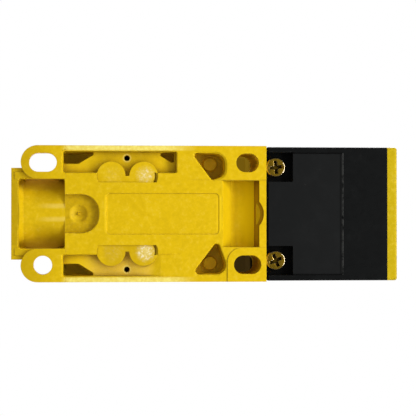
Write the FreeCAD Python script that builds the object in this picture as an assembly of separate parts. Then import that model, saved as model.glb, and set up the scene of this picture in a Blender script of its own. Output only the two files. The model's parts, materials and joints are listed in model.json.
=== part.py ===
import FreeCAD, Part
import math
import os

# Inductive proximity sensor: a terminal base for four M5 screws with a plug-on sensing head.
# The frame: origin on the mounting plane at the middle of the screw pattern,
# +X to the sensing face, +Z away from the mounting surface, millimetres.

# Mounting pattern
slot_pitch_x = 60.0
slot_pitch_y = 30.0
slot_width = 5.5
long_slot_length = 8.1
short_slot_length = 6.7

# Outside sizes
side_margin = 5.0
rear_margin = 9.2
front_margin = 5.6
body_height = 40.0
base_height = 28.0
head_length = 36.2
face_thickness = 3.0
head_side_step = 0.25
head_lift = 0.4

# Base shell
wall = 2.0
front_wall = 2.2
pad_step = 0.3
floor_skin = 2.4
front_floor = 9.6
front_floor_length = 22.6
front_block_length = 11.2
front_block_width = 10.2
screw_niche_length = 9.2
screw_niche_width = 9.6
screw_niche_height = 6.0
lip = 0.25
front_pad_length = 11.5
front_pad_width = 10.0
front_pad_run = 12.0
front_pad_radius = 4.2

# Rear ears
ear_width = 9.8
ear_thickness = 4.0
ear_tail_length = 6.4
ear_root_length = 4.6

# Cable entry, M20 x 1.5
entry_thread_radius = 10.0
entry_tube_radius = 12.0
entry_axis_lift = 0.2
entry_collar_width = 26.8
entry_collar_length = 4.2
entry_collar_foot = 1.2
entry_collar_roof = 0.8
entry_window_width = 20.4
entry_window_length = 13.5
entry_end_wall = 2.1
entry_bevel_height = 0.4
entry_bevel_length = 1.8
entry_bevel_side = 2.8

# Moulded recesses of the underside
rim_wall = 1.7
channel_depth = 2.7
channel_width = 6.3
channel_front_margin = 26.5
channel_corner_radius = 0.5
ramp_front_margin = 24.6
ramp_length = 9.4
ramp_toe_length = 6.6
ramp_toe_height = 0.35
shelf_width = 2.8
shelf_depth = 0.5
lobe_gap_depth = 1.6
shelf_front_length = 3.75
lobe_radius = 4.2
lobe_crown_radius = 3.3
cradle_length = 9.9
cradle_width = 11.3
cradle_depth = 2.0
dimple_radius = 2.5
dimple_depth = 0.9
panel_rear_margin = 13.8
panel_front_gap = 1.0
panel_width = 12.0
panel_depth = 0.3
scoop_depth = 5.8
scoop_length = 10.9
scoop_ramp_angle = 56.0
scoop_ramp_radius = 3.0
scoop_wall_lean = 0.9
scoop_front_wall = 2.1
scoop_relief_radius = 5.3
scoop_relief_depth = 3.4
scoop_relief_lean = 0.65
scoop_relief_reach = 1.4
corner_pocket_length = 8.8
corner_pocket_width = 3.6
corner_pocket_depth = 9.5
wedge_pocket_depth = 5.0
pocket_roof = 1.5
triangle_pocket_depth = 6.9
triangle_rear_margin = 16.5
triangle_rim_gap = 0.45
short_triangle_length = 9.95
short_triangle_side = 6.75
short_triangle_width = 8.0
short_triangle_tip = 6.0
long_triangle_length = 11.45
long_triangle_width = 10.1
long_triangle_tip = 7.65
triangle_pin_length = 5.9
triangle_pin_inset = 3.15
triangle_pin_radius = 2.3
triangle_pin_tip_radius = 1.9
triangle_pin_height = 0.9

# Lid
lid_gap = 0.2
lid_wall = 2.0
lid_top = 2.2
lid_edge_radius = 1.2
lid_label_depth = 0.4
lid_label_margin = 8.5
lid_label_end_margin = 6.5
lid_label_radius = 1.5
lid_screw_inset = 3.6
lid_screw_rear_margin = 24.6
lid_screw_front_margin = 10.4
lid_screw_radius = 1.45
lid_screw_head_radius = 2.5
lid_screw_head_height = 2.0
lid_screw_recess = 3.0
lid_screw_grip = 5.0
lid_boss_radius = 3.2
lid_insert_length = 6.4
lid_insert_wall = 0.6
screw_clearance = 0.1
column_radius = 2.8
retainer_thickness = 0.8
seal_width = 1.0
seal_depth = 1.2

# Terminals
terminal_pitch = 9.5
terminal_inset = 8.9
terminal_rear_margin = 19.9
terminal_travel = 2.4
terminal_screw_radius = 1.6
terminal_head_radius = 2.6
terminal_head_height = 1.8
clamp_width = 6.2
clamp_depth = 4.6
clamp_wall = 0.8
clamp_top_plate = 1.6
clamp_foot_plate = 1.0
sliding_clearance = 0.15
bar_width = 3.0
bar_thickness = 1.0
bar_height = 14.0
carrier_wall = 1.0
carrier_plate = 2.0
carrier_lip = 1.0
carrier_front_gap = 1.35
carrier_screw_radius = 1.1
carrier_screw_head_height = 1.5
carrier_screw_grip = 3.4
carrier_screw_inset = 1.5
carrier_screw_front_margin = 4.0
carrier_bridge_thickness = 2.0

# Plug between head and base
plug_side_gap = 1.0
plug_wall = 1.55
plug_height = 5.4
pin_share = 0.23
sleeve_share = 0.17
pin_rear_length = 5.5
pin_front_length = 1.8
socket_length = 6.6
head_seal_width = 1.6
head_seal_depth = 1.2

# Head
head_wall = 2.4
head_edge_radius = 0.8
head_back_wall = 2.8
head_label_length = 22.8
head_label_margin = 1.8
head_label_depth = 0.35
head_label_radius = 0.5
roof_label_rear_margin = 9.0
roof_label_front_margin = 3.0
roof_label_side_margin = 4.8
roof_label_radius = 1.6
head_joint_length = 0.7
head_joint_height = 0.9
lug_inset = 6.2
lug_pocket_length = 8.0
lug_pocket_width = 8.7
lug_pocket_depth = 3.8
lug_pocket_radius = 0.3
lug_thickness = 2.8
tab_thickness = 5.0
tab_clearance = 0.15
lug_screw_radius = 1.5
lug_screw_head_radius = 2.95
lug_screw_head_height = 2.2
lug_insert_wall = 0.9
face_skirt_depth = 4.0
face_skirt_wall = 1.5

# Sensing system and electronics
core_gap = 0.9
core_length = 8.5
core_base = 3.0
core_post_share = 1 / 3
core_rim = 2.0
bobbin_wall = 0.8
winding_slack = 1.0
board_thickness = 1.6
board_side_gap = 1.5
board_gap = 1.2
chip_inset = 6.0
chip_length = 5.0
chip_width = 4.0
chip_height = 1.5
chip_leg_pitch = 1.27
chip_leg_width = 0.4
chip_leg_reach = 1.0
capacitor_inset = 3.5
capacitor_spacing = 6.0
capacitor_radius = 2.5
capacitor_height = 6.0
resistor_length = 1.6
resistor_width = 0.8
resistor_height = 0.5
resistor_pitch = 2.0
resistor_setback = 3.0
led_size = 2.4
led_height = 1.2
led_setback = 3.6
led_inset = 14.3
guide_radius = 1.5
lead_radius = 0.4

# Positions that follow from the sizes above
rear_slots = -slot_pitch_x / 2
front_slots = slot_pitch_x / 2
slot_side = slot_pitch_y / 2
half_width = slot_side + side_margin
base_back = rear_slots + ear_root_length
base_front = front_slots + front_margin
entry_end = rear_slots - rear_margin
entry_axis_height = base_height / 2 + entry_axis_lift
head_front = base_front + head_length
face_front = head_front + face_thickness
plate = pad_step
channel_floor = plate + channel_depth
rear_floor = channel_floor + floor_skin
channel_start = base_back + 1.3
channel_end = base_front - channel_front_margin
ramp_end = base_front - ramp_front_margin
ramp_toe = ramp_end - ramp_toe_length
ramp_start = ramp_toe - ramp_length
rim = half_width - rim_wall
channel_inner = rim - channel_width
shelf_inner = channel_inner - shelf_width
window_front = entry_end + entry_end_wall + entry_window_length
scoop_front = base_front - scoop_front_wall
scoop_back = scoop_front - scoop_length
chamber_back = base_back + wall
chamber_front = base_front - front_wall
chamber_side = half_width - wall
front_floor_start = base_front - front_floor_length
front_block_back = base_front - front_block_length
front_pad_back = base_front - front_pad_length
front_block_side = half_width - front_block_width
head_half = half_width - head_side_step
head_axis = (head_lift + body_height) / 2
plug_half = front_block_side - wall - plug_side_gap
pin_pitch = (plug_half - plug_wall) / 1.5
pin_radius = pin_share * pin_pitch
sleeve_radius = (pin_share + sleeve_share) * pin_pitch
pin_height = bar_height + bar_thickness / 2
plug_low = pin_height - plug_height / 2
plug_high = pin_height + plug_height / 2
plug_back = chamber_front - 0.1
terminal_y = half_width - terminal_inset
terminal_xs = [rear_slots + terminal_rear_margin, rear_slots + terminal_rear_margin + terminal_pitch]
column_y = half_width - lid_screw_inset
column_xs = [rear_slots + lid_screw_rear_margin, front_slots - lid_screw_front_margin]
column_spots = [(x, s * column_y) for x in column_xs for s in (-1, 1)]
seal_inner = half_width - (lid_wall + seal_width) / 2
retainer_radius = seal_inner - column_y - screw_clearance
carrier_back = terminal_xs[0] - clamp_width / 2 - sliding_clearance - carrier_wall
carrier_step = terminal_xs[1] + clamp_width / 2 + sliding_clearance + carrier_wall
carrier_front = front_floor_start - carrier_front_gap
carrier_screw_y = terminal_y - carrier_screw_inset
lug_screw_x = base_front + lug_screw_head_radius + screw_clearance
lug_screw_y = half_width - lug_inset
lug_seat = head_lift + lug_pocket_depth
tab_foot = lug_seat + lug_thickness
head_room = head_half - head_wall
core_radius = min(head_half, head_axis - head_lift) - head_wall - face_skirt_wall - core_gap
core_post_radius = core_post_share * core_radius
board_half = head_room - board_side_gap


def box(x0, x1, y0, y1, z0, z1):
    return Part.makeBox(x1 - x0, y1 - y0, z1 - z0, FreeCAD.Vector(x0, y0, z0))


def upright(x, y, z0, z1, r):
    return Part.makeCylinder(r, z1 - z0, FreeCAD.Vector(x, y, z0), FreeCAD.Vector(0, 0, 1))


def along_x(y, z, x0, x1, r):
    return Part.makeCylinder(r, x1 - x0, FreeCAD.Vector(x0, y, z), FreeCAD.Vector(1, 0, 0))


def joined(shapes):
    whole = shapes[0]
    for s in shapes[1:]:
        whole = whole.fuse(s)
    return whole.removeSplitter()


def without(shape, tools):
    for t in tools:
        shape = shape.cut(t)
    return shape


def grown(points, by):
    """The same convex outline with every side moved outwards, or inwards if by is negative."""
    turn = sum(a[0] * b[1] - b[0] * a[1] for a, b in zip(points, points[1:] + points[:1]))
    sign = 1 if turn > 0 else -1
    sides = []
    for a, b in zip(points, points[1:] + points[:1]):
        dx, dy = b[0] - a[0], b[1] - a[1]
        n = math.hypot(dx, dy)
        nx, ny = sign * dy / n, -sign * dx / n
        sides.append((nx, ny, nx * a[0] + ny * a[1] + by))
    out = []
    for i, p in enumerate(points):
        (a, b, c), (d, e, f) = sides[i - 1], sides[i]
        det = a * e - b * d
        out.append(((c * e - b * f) / det, (a * f - c * d) / det, max(p[2] + by, 0.05)))
    return out


def outline(points, z):
    """A closed wire through (x, y, corner radius) points."""
    ends = []
    for i, (x, y, r) in enumerate(points):
        p = FreeCAD.Vector(x, y, z)
        q = FreeCAD.Vector(points[i - 1][0], points[i - 1][1], z)
        s = points[(i + 1) % len(points)]
        s = FreeCAD.Vector(s[0], s[1], z)
        u, v = (q - p).normalize(), (s - p).normalize()
        half = u.getAngle(v) / 2
        back = min(r / math.tan(half), 0.49 * min((q - p).Length, (s - p).Length))
        r = back * math.tan(half)
        middle = p + (u + v).normalize() * (r / math.sin(half) - r)
        ends.append((p + u * back, middle, p + v * back))
    edges = []
    for i, (a, m, b) in enumerate(ends):
        edges.append(Part.Arc(a, m, b).toShape())
        nxt = ends[(i + 1) % len(ends)][0]
        if (nxt - b).Length > 1e-6:
            edges.append(Part.LineSegment(b, nxt).toShape())
    return Part.Wire(edges)


def prism(points, z0, z1):
    return Part.Face(outline(points, z0)).extrude(FreeCAD.Vector(0, 0, z1 - z0))


def tapered(points, z0, z1, draft):
    """A plug whose sides lean in by draft between z0 and z1."""
    return Part.makeLoft([outline(points, z0), outline(grown(points, -draft), z1)], True, True)


def pocket(points, z0, z1, draft, edge=lip):
    """A recess cut upwards from z0, with a small chamfer round its mouth."""
    mouth = Part.makeLoft(
        [outline(grown(points, 2 * edge), z0 - edge), outline(points, z0 + edge)], True, True)
    return tapered(points, z0 - edge, z1, draft).fuse(mouth)


def pad_pocket(points, z1, draft):
    """A recess in the plate that also opens what a pad has over it."""
    below = prism(grown(points, 2 * lip), -1, plate - lip)
    return pocket(points, plate, z1, draft).fuse(below)


def rectangle(x0, x1, y0, y1, r):
    return [(x0, y0, r), (x1, y0, r), (x1, y1, r), (x0, y1, r)]


def mirrored(points):
    return [(x, -y, r) for x, y, r in points]


def slot(x, y, length, z0, z1, r):
    ends = length / 2 - r
    if ends < 0.05:
        return upright(x, y, z0, z1, r)
    return joined([upright(x - ends, y, z0, z1, r), upright(x + ends, y, z0, z1, r),
                   box(x - ends, x + ends, y - r, y + r, z0, z1)])


def eased_box(x0, x1, y0, y1, z0, z1, r, keep):
    """A box with the edges rounded whose middle point passes keep(point)."""
    b = box(x0, x1, y0, y1, z0, z1)
    edges = [e for e in b.Edges if keep(e.CenterOfMass)]
    return b.makeFillet(r, edges)


def base_housing():
    shell = eased_box(base_back, base_front, -half_width, half_width, plate, base_height, 1.5,
                      lambda p: abs(p.x - base_back) < 0.01 and abs(p.z - (plate + base_height) / 2) < 0.01)
    ears = []
    for s in (-1, 1):
        y = s * (half_width - ear_width / 2)
        r = ear_width / 2
        tail = rear_slots - ear_tail_length
        ears.append(upright(tail + r, y, 0, ear_thickness, r))
        ears.append(box(tail + r, base_back + wall, y - r, y + r, 0, ear_thickness))
    pads = [
        box(base_back, base_back + 0.8, -half_width, -half_width + ear_width, 0, plate + 0.1),
        prism([(base_back - 6, half_width, 0.05), (base_back + 0.8, half_width, 0.05),
               (base_back + 0.8, half_width - ear_width, 4.6), (base_back - 6, half_width - ear_width, 0.05)],
              0, plate + 0.1),
        prism([(front_pad_back, half_width, 0.05), (base_front, half_width, 0.05),
               (base_front, half_width - front_pad_width, 0.05),
               (front_pad_back, half_width - front_pad_width, front_pad_radius)], 0, plate + 0.1),
        front_pad(),
    ]
    tube = along_x(0, entry_axis_height, entry_end + 1, base_back + wall, entry_tube_radius)
    webs = [box(entry_end + 1, base_back + wall, y0, y0 + 2.0, entry_collar_foot, ear_thickness)
            for y0 in (-entry_window_width / 2 - 2.0, entry_window_width / 2)]
    tab_half = lug_pocket_width / 2 - tab_clearance
    tabs = [box(base_front - 1, base_front + lug_pocket_length - tab_clearance,
                s * lug_screw_y - tab_half, s * lug_screw_y + tab_half,
                tab_foot, tab_foot + tab_thickness) for s in (-1, 1)]
    body = joined([shell, entry_collar(), tube] + webs + ears + pads + tabs)

    inside = [chamber()]
    inside.append(along_x(0, entry_axis_height, entry_end - 1, chamber_back + 1, entry_thread_radius))
    inside.append(box(chamber_front - 1, base_front + 1, -plug_half - 0.2, plug_half + 0.2,
                      plug_low - 0.2, plug_high + 0.2))
    for x, y in column_spots:
        inside.append(upright(x, y, base_height - lid_insert_length, base_height + 1,
                              lid_screw_radius + screw_clearance + lid_insert_wall))
    for s in (-1, 1):
        inside.append(upright(lug_screw_x, s * lug_screw_y, 0, tab_foot + tab_thickness + 1,
                              lug_screw_radius + lug_insert_wall))
    for x, y in carrier_screw_spots():
        inside.append(upright(x, y, rear_floor - carrier_screw_grip - 0.2, rear_floor + 1,
                              carrier_screw_radius))
    body = without(body, inside)

    holes = [
        slot(rear_slots, -slot_side, long_slot_length, -1, ear_thickness + 1, slot_width / 2),
        slot(rear_slots, slot_side, slot_width, -1, ear_thickness + 1, slot_width / 2),
        slot(front_slots, -slot_side, short_slot_length, -1, base_height + 1, slot_width / 2),
        slot(front_slots, slot_side, long_slot_length, -1, base_height + 1, slot_width / 2),
    ]
    for s in (-1, 1):
        y0, y1 = sorted((s * (half_width - screw_niche_width), s * (half_width + 1)))
        holes.append(box(front_slots - screw_niche_length / 2, front_slots + screw_niche_length / 2, y0, y1,
                         base_height - screw_niche_height, base_height + 1))
    return without(body, holes + underside())


def front_pad():
    """The pad round the short front slot. It runs out into the plate behind it."""
    points = [(front_pad_back - front_pad_run, plate), (front_pad_back, 0), (base_front, 0),
              (base_front, plate + 0.1), (front_pad_back - front_pad_run, plate + 0.1)]
    wire = Part.makePolygon([FreeCAD.Vector(x, -half_width, z) for x, z in points + points[:1]])
    return Part.Face(wire).extrude(FreeCAD.Vector(0, front_pad_width, 0))


def entry_collar():
    """The square collar of the cable entry, bevelled round three sides of its lower face."""
    half = entry_collar_width / 2
    front = entry_end + entry_collar_length
    low, bevel = entry_collar_foot, entry_collar_foot + entry_bevel_height
    roof = entry_axis_height + entry_tube_radius + entry_collar_roof
    upper = eased_box(entry_end, front, -half, half, bevel, roof, 0.6,
                      lambda p: p.z > roof - 0.01 and p.x < front - 0.01)
    in_x, in_y = entry_end + entry_bevel_length, half - entry_bevel_side
    narrow = Part.makePolygon([FreeCAD.Vector(x, y, low) for x, y in (
        (in_x, -in_y), (front, -in_y), (front, in_y), (in_x, in_y), (in_x, -in_y))])
    wide = Part.makePolygon([FreeCAD.Vector(x, y, bevel) for x, y in (
        (entry_end, -half), (front, -half), (front, half), (entry_end, half), (entry_end, -half))])
    return joined([upper, Part.makeLoft([narrow, wide], True, True)])


def chamber():
    """The sealed terminal space, with what stands up in it left out."""
    room = box(chamber_back, front_block_back - wall, -chamber_side, chamber_side,
               rear_floor, base_height + 1)
    nose_side = front_block_side - wall
    nose = box(front_block_back - wall - 1, chamber_front, -nose_side, nose_side,
               front_floor, base_height + 1)
    stays = [box(front_floor_start, base_front, -half_width, half_width, 0, front_floor)]
    for s in (-1, 1):
        stays.append(prism(grown(corner_points(s), 1.4), 0,
                           channel_floor + corner_pocket_depth + pocket_roof))
    stays.append(prism(grown(wedge_points(), 1.2), 0, channel_floor + wedge_pocket_depth + pocket_roof))
    for x, y in column_spots:
        stays.append(upright(x, y, 0, base_height + 2, column_radius))
        y0, y1 = sorted((y, math.copysign(half_width, y)))
        stays.append(box(x - column_radius, x + column_radius, y0, y1, 0, base_height + 2))
    return without(room.fuse(nose), stays)


def wedge_points():
    """The outline of the small core pocket at the front of the right-hand channel."""
    x, y = channel_end - 4.6, -rim
    return [(x, y + 0.3, 0.3), (x + 4.1, y + 0.3, 0.3), (x + 4.1, y + 2.9, 0.3),
            (x + 3.2, y + 3.2, 0.3), (x, y + 1.2, 0.3)]


def corner_points(s):
    """The outline of the deep core pocket at the rear corner of a channel."""
    x0, x1 = channel_start, channel_start + corner_pocket_length
    y0, y1 = rim, rim - corner_pocket_width
    points = [(x0, y0, 0.5), (x1, y0, 0.3), (x1, y0 - 0.9, 0.4), (x1 - 4.3, y1, 0.5), (x0, y1, 0.5)]
    return points if s > 0 else mirrored(points)


def channel(s):
    """One of the two long channels, with the terminal lobes that stand in it and their shelf."""
    y0, y1 = sorted((s * channel_inner, s * rim))
    if s > 0:
        whole = pad_pocket(rectangle(channel_start, ramp_end + 1, y0, y1, channel_corner_radius),
                           channel_floor, 0.15)
        points = [(channel_start - 1, -2), (channel_start - 1, channel_floor), (ramp_start, channel_floor),
                  (ramp_toe, plate + ramp_toe_height), (ramp_end, plate - 0.01), (ramp_end, -2)]
        wire = Part.makePolygon([FreeCAD.Vector(x, y0 - 1, z) for x, z in points + points[:1]])
        trough = whole.common(Part.Face(wire).extrude(FreeCAD.Vector(0, y1 - y0 + 2, 0)))
    else:
        trough = pad_pocket(rectangle(channel_start, channel_end, y0, y1, channel_corner_radius),
                            channel_floor, 0.15)
    lobes = [upright(x, s * terminal_y, -2, channel_floor + 1, lobe_radius) for x in terminal_xs]
    notch_y = sorted((s * terminal_y, s * (channel_inner + 0.5)))
    notch = box(terminal_xs[0], terminal_xs[1], notch_y[0], notch_y[1], -1, channel_floor)
    deep = without(trough.fuse(notch), lobes)
    shelf_y = sorted((s * shelf_inner, s * (channel_inner + 1)))
    shelf_front = terminal_xs[1] + shelf_front_length
    shelf = prism(rectangle(terminal_xs[0], shelf_front, shelf_y[0], shelf_y[1], 0.5),
                  -1, plate + shelf_depth)
    outside = sorted((s * shelf_inner, s * half_width))
    tops = [upright(x, s * terminal_y, -1, plate + shelf_depth, lobe_radius).common(
        box(x - 5, x + 5, outside[0], outside[1], -1, channel_floor)) for x in terminal_xs]
    gap_y = sorted((s * shelf_inner, s * (channel_inner + 0.1)))
    gap = prism(rectangle(terminal_xs[1] + 0.5, shelf_front, gap_y[0], gap_y[1], 0.4),
                -1, plate + lobe_gap_depth)
    gap = gap.cut(upright(terminal_xs[1], s * terminal_y, -2, channel_floor + 1, lobe_crown_radius))
    return joined([deep, shelf, gap] + tops)


def underside():
    """Every moulded recess that is cut into the mounting face."""
    cuts = []
    for s in (-1, 1):
        cuts.append(channel(s))
        cuts.append(pocket(corner_points(s), channel_floor, channel_floor + corner_pocket_depth, 0.35, 0.1))
    for x, y in column_spots[:2]:
        cuts.append(upright(x, y, channel_floor - 1, base_height - lid_insert_length + 1, 0.85))
    cuts.append(pocket(wedge_points(), channel_floor, channel_floor + wedge_pocket_depth, 0.1, 0.1))
    cuts.append(entry_window())
    cuts.append(cradle())
    panel = rectangle(base_back + panel_rear_margin, scoop_back - panel_front_gap,
                      -panel_width / 2, panel_width / 2, 1.2)
    cuts.append(pocket(panel, plate, plate + panel_depth, 0.05, 0.1))
    cuts.append(scoop())
    cuts += triangle_pockets()
    return cuts


def entry_window():
    """The opening under the cable entry that leaves its round tube in sight."""
    x0 = entry_end + entry_end_wall
    half = entry_window_width / 2
    hole = pocket(rectangle(x0, window_front, -half, half, 0.8), entry_collar_foot,
                  entry_axis_height - 4, 0.3)
    over = prism(rectangle(x0 + 1.0, window_front, -half, half, 0.4), -1, entry_collar_foot)
    flare = Part.makeCone(entry_tube_radius + 1.4, entry_tube_radius, 1.4,
                          FreeCAD.Vector(x0, 0, entry_axis_height), FreeCAD.Vector(1, 0, 0))
    tube = along_x(0, entry_axis_height, x0 - 1, window_front + 1, entry_tube_radius)
    return without(hole.fuse(over), [tube, flare])


def cradle():
    """The round-ended shallow recess behind the entry window, with its gate dimple."""
    half = cradle_width / 2
    x1 = window_front + cradle_length
    points = [(window_front - 0.6, -half, 0.05), (x1, -half, half - 0.1), (x1, half, half - 0.1),
              (window_front - 0.6, half, 0.05)]
    cut = pocket(points, plate, plate + cradle_depth, 0.1)
    gate = Part.makeSphere(dimple_radius + 1.6, FreeCAD.Vector(
        window_front + 4.0, 0, plate + cradle_depth + dimple_depth - dimple_radius - 1.6))
    nub = Part.makeCone(0.7, 0.3, 1.6, FreeCAD.Vector(window_front + 4.0, 0, plate + cradle_depth + 1.5),
                        FreeCAD.Vector(0, 0, -1))
    return cut.fuse(gate).cut(nub)


def scoop():
    """The deep recess between the front slots: a ramp in, a flat floor and a round relief."""
    floor = plate + scoop_depth
    half = front_block_side
    lean = math.radians(scoop_ramp_angle)
    drop = scoop_depth - scoop_ramp_radius * (1 - math.cos(lean))
    top = FreeCAD.Vector(scoop_back, -half, plate)
    foot = top + FreeCAD.Vector(drop / math.tan(lean), 0, drop)
    low = FreeCAD.Vector(foot.x + scoop_ramp_radius * math.sin(lean), -half, floor)
    middle = FreeCAD.Vector(low.x - scoop_ramp_radius * math.sin(lean / 2), -half,
                            floor - scoop_ramp_radius * (1 - math.cos(lean / 2)))
    rest = [low] + [FreeCAD.Vector(x, -half, z) for x, z in (
        (scoop_front - scoop_wall_lean, floor), (scoop_front, plate), (scoop_front + lip, plate - lip),
        (scoop_back, plate - lip))] + [top, foot]
    edges = [Part.LineSegment(p, q).toShape() for p, q in zip(rest, rest[1:])]
    face = Part.Face(Part.Wire([Part.Arc(foot, middle, low).toShape()] + edges))
    cut = face.extrude(FreeCAD.Vector(0, 2 * half, 0))
    reach = plate + scoop_relief_depth + 1
    relief = Part.makeCone(scoop_relief_radius + scoop_relief_lean / scoop_relief_depth, scoop_relief_radius
                           - scoop_relief_lean, reach,
                           FreeCAD.Vector(scoop_front - scoop_relief_radius + scoop_relief_reach, 0, -1))
    beyond = box(scoop_front - 2.0, base_front, -half + 1, half - 1, -1, floor)
    return cut.fuse(relief.common(beyond))


def triangle_pockets():
    """Two rounded pockets beside the front slots, with the end of a core pin standing in each."""
    x0 = front_slots - triangle_rear_margin
    y0 = rim - triangle_rim_gap
    upper = [(x0, -y0, 0.8), (x0 + short_triangle_length, -y0, 3.2),
             (x0 + short_triangle_length, -y0 + short_triangle_side, 3.4),
             (x0 + short_triangle_tip, -y0 + short_triangle_width, 0.6)]
    lower = [(x0, y0, 1.1), (x0 + long_triangle_length, y0, 2.9),
             (x0 + long_triangle_tip, y0 - long_triangle_width, 1.0)]
    cuts = []
    for points, y in ((upper, triangle_pin_inset - y0), (lower, y0 - triangle_pin_inset)):
        z1 = plate + triangle_pocket_depth
        pin = Part.makeCone(triangle_pin_tip_radius, triangle_pin_radius, triangle_pin_height + 0.5,
                            FreeCAD.Vector(x0 + triangle_pin_length, y, z1 - triangle_pin_height))
        cuts.append(pad_pocket(points, z1, 0.35).cut(pin))
    return cuts


def terminal_cover():
    x0, x1 = base_back, base_front - lid_gap
    outer = eased_box(x0, x1, -half_width, half_width, base_height, body_height, lid_edge_radius,
                      lambda p: p.z > body_height - 0.01 or abs(p.x - x0) < 0.01 and p.z > base_height + 0.01)
    room = box(x0 + lid_wall, x1 - lid_wall, -half_width + lid_wall, half_width - lid_wall,
               base_height - 1, body_height - lid_top)
    lid = outer.cut(room)
    foot = base_height + retainer_thickness + 0.2
    bosses = [upright(x, y, foot, body_height - lid_top + 0.5, lid_boss_radius).common(outer)
              for x, y in column_spots]
    lid = joined([lid] + bosses)
    tools = [seal_ring(base_height, seal_depth)]
    for x, y in column_spots:
        tools.append(upright(x, y, foot - 1, body_height + 1, lid_screw_radius))
        tools.append(upright(x, y, body_height - lid_screw_recess, body_height + 1,
                             lid_screw_head_radius + 0.2))
        tools.append(upright(x, y, base_height - 1, foot, retainer_radius + screw_clearance))
    label_half = half_width - lid_label_margin
    label = rectangle(x0 + lid_label_end_margin, x1 - lid_label_end_margin, -label_half, label_half,
                      lid_label_radius)
    tools.append(prism(label, body_height - lid_label_depth, body_height + 1))
    return without(lid, tools)


def seal_ring(z0, height):
    """A cord round the rim, in the middle of the lid's wall."""
    inset = (lid_wall - seal_width) / 2
    x0, x1 = base_back + inset, base_front - lid_gap - inset
    y = half_width - inset
    big = prism(rectangle(x0, x1, -y, y, 1.5), z0, z0 + height)
    w = seal_width
    return big.cut(prism(rectangle(x0 + w, x1 - w, -y + w, y - w, 0.8), z0 - 1, z0 + height + 1))


def lid_screws():
    top = body_height - lid_screw_recess
    end = base_height - lid_screw_grip
    return [upright(x, y, top, top + lid_screw_head_height, lid_screw_head_radius).fuse(
        upright(x, y, end, top, lid_screw_radius)) for x, y in column_spots]


def lid_retainers():
    z = base_height + 0.2
    return [upright(x, y, z, z + retainer_thickness, retainer_radius).cut(
        upright(x, y, z - 1, z + retainer_thickness + 1, lid_screw_radius)) for x, y in column_spots]


def lid_inserts():
    bore = lid_screw_radius + screw_clearance
    z = base_height - lid_insert_length
    return [upright(x, y, z, base_height, bore + lid_insert_wall).cut(
        upright(x, y, z - 1, base_height + 1, bore)) for x, y in column_spots]


def terminal_spots():
    return [(x, s * terminal_y) for s in (-1, 1) for x in terminal_xs]


def screw_tip():
    return bar_height + bar_thickness + 0.05


def clamp_top():
    return bar_height + bar_thickness + terminal_travel + sliding_clearance + clamp_top_plate


def head_seat():
    return clamp_top() + 0.9


def carrier_top():
    return head_seat() + terminal_head_height + 0.15 + carrier_lip


def carrier_screw_spots():
    x = carrier_front - carrier_screw_front_margin
    return [(x, s * carrier_screw_y) for s in (-1, 1)]


def terminal_carrier():
    """The insulating block. Each clamp slides in a shaft that is open below and lipped over the screw."""
    inner = terminal_y - clamp_depth / 2 - sliding_clearance - carrier_wall
    outer = terminal_y + clamp_depth / 2 + sliding_clearance + carrier_wall
    nose = carrier_screw_y + 3 * carrier_screw_radius
    top = rear_floor + carrier_plate
    whole = [box(carrier_back, carrier_front, -inner - 0.5, inner + 0.5, rear_floor, top)]
    whole.append(box(carrier_step - 0.5, carrier_front, -nose, nose, rear_floor, top))
    for s in (-1, 1):
        y0, y1 = sorted((s * inner, s * outer))
        whole.append(box(carrier_back, carrier_step, y0, y1, rear_floor, carrier_top()))
    whole.append(box(carrier_step + 1.0, carrier_step + 1.0 + carrier_bridge_thickness,
                     -plug_half - 0.1, plug_half + 0.1, rear_floor, bar_height))
    block = joined(whole)
    tools = []
    for x, y in terminal_spots():
        hw = clamp_width / 2 + sliding_clearance
        hd = clamp_depth / 2 + sliding_clearance
        tools.append(box(x - hw, x + hw, y - hd, y + hd, rear_floor + 1.2, head_seat()))
        tools.append(upright(x, y, head_seat() - 1, carrier_top() - carrier_lip, terminal_head_radius + 0.1))
        tools.append(upright(x, y, head_seat(), carrier_top() + 1, terminal_head_radius - 0.5))
        y0, y1 = sorted((y, math.copysign(inner - 1, y)))
        wire_way = (clamp_width - 2 * clamp_wall) / 2
        tools.append(box(x - wire_way, x + wire_way, y0, y1,
                         bar_height - terminal_travel - 1, bar_height + bar_thickness))
    for x, y in column_spots:
        tools.append(upright(x, y, 0, body_height, column_radius + 0.3))
    for x, y in carrier_screw_spots():
        tools.append(upright(x, y, 0, body_height, carrier_screw_radius))
    return without(block, tools)


def carrier_screws():
    z = rear_floor + carrier_plate
    return [upright(x, y, z, z + carrier_screw_head_height, 2 * carrier_screw_radius).fuse(
        upright(x, y, rear_floor - carrier_screw_grip, z, carrier_screw_radius))
        for x, y in carrier_screw_spots()]


def terminal_screw(x, y):
    seat = head_seat()
    return upright(x, y, seat, seat + terminal_head_height, terminal_head_radius).fuse(
        upright(x, y, screw_tip(), seat, terminal_screw_radius))


def terminal_clamp(x, y):
    """The rising cage round the contact bar, drawn shut."""
    hw, hd = clamp_width / 2, clamp_depth / 2
    low = bar_height - sliding_clearance - clamp_foot_plate
    cage = box(x - hw, x + hw, y - hd, y + hd, low, clamp_top())
    window = box(x - hw + clamp_wall, x + hw - clamp_wall, y - hd - 1, y + hd + 1,
                 bar_height - sliding_clearance, clamp_top() - clamp_top_plate)
    hole = upright(x, y, low, clamp_top() + 1, terminal_screw_radius + screw_clearance)
    way = box(x - hw, x + hw, y - hd, y + hd, clamp_top() - clamp_top_plate - 0.1, clamp_top() + 1)
    return without(cage, [window, hole.common(way)])


def sleeve_back():
    return plug_back - socket_length


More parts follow.
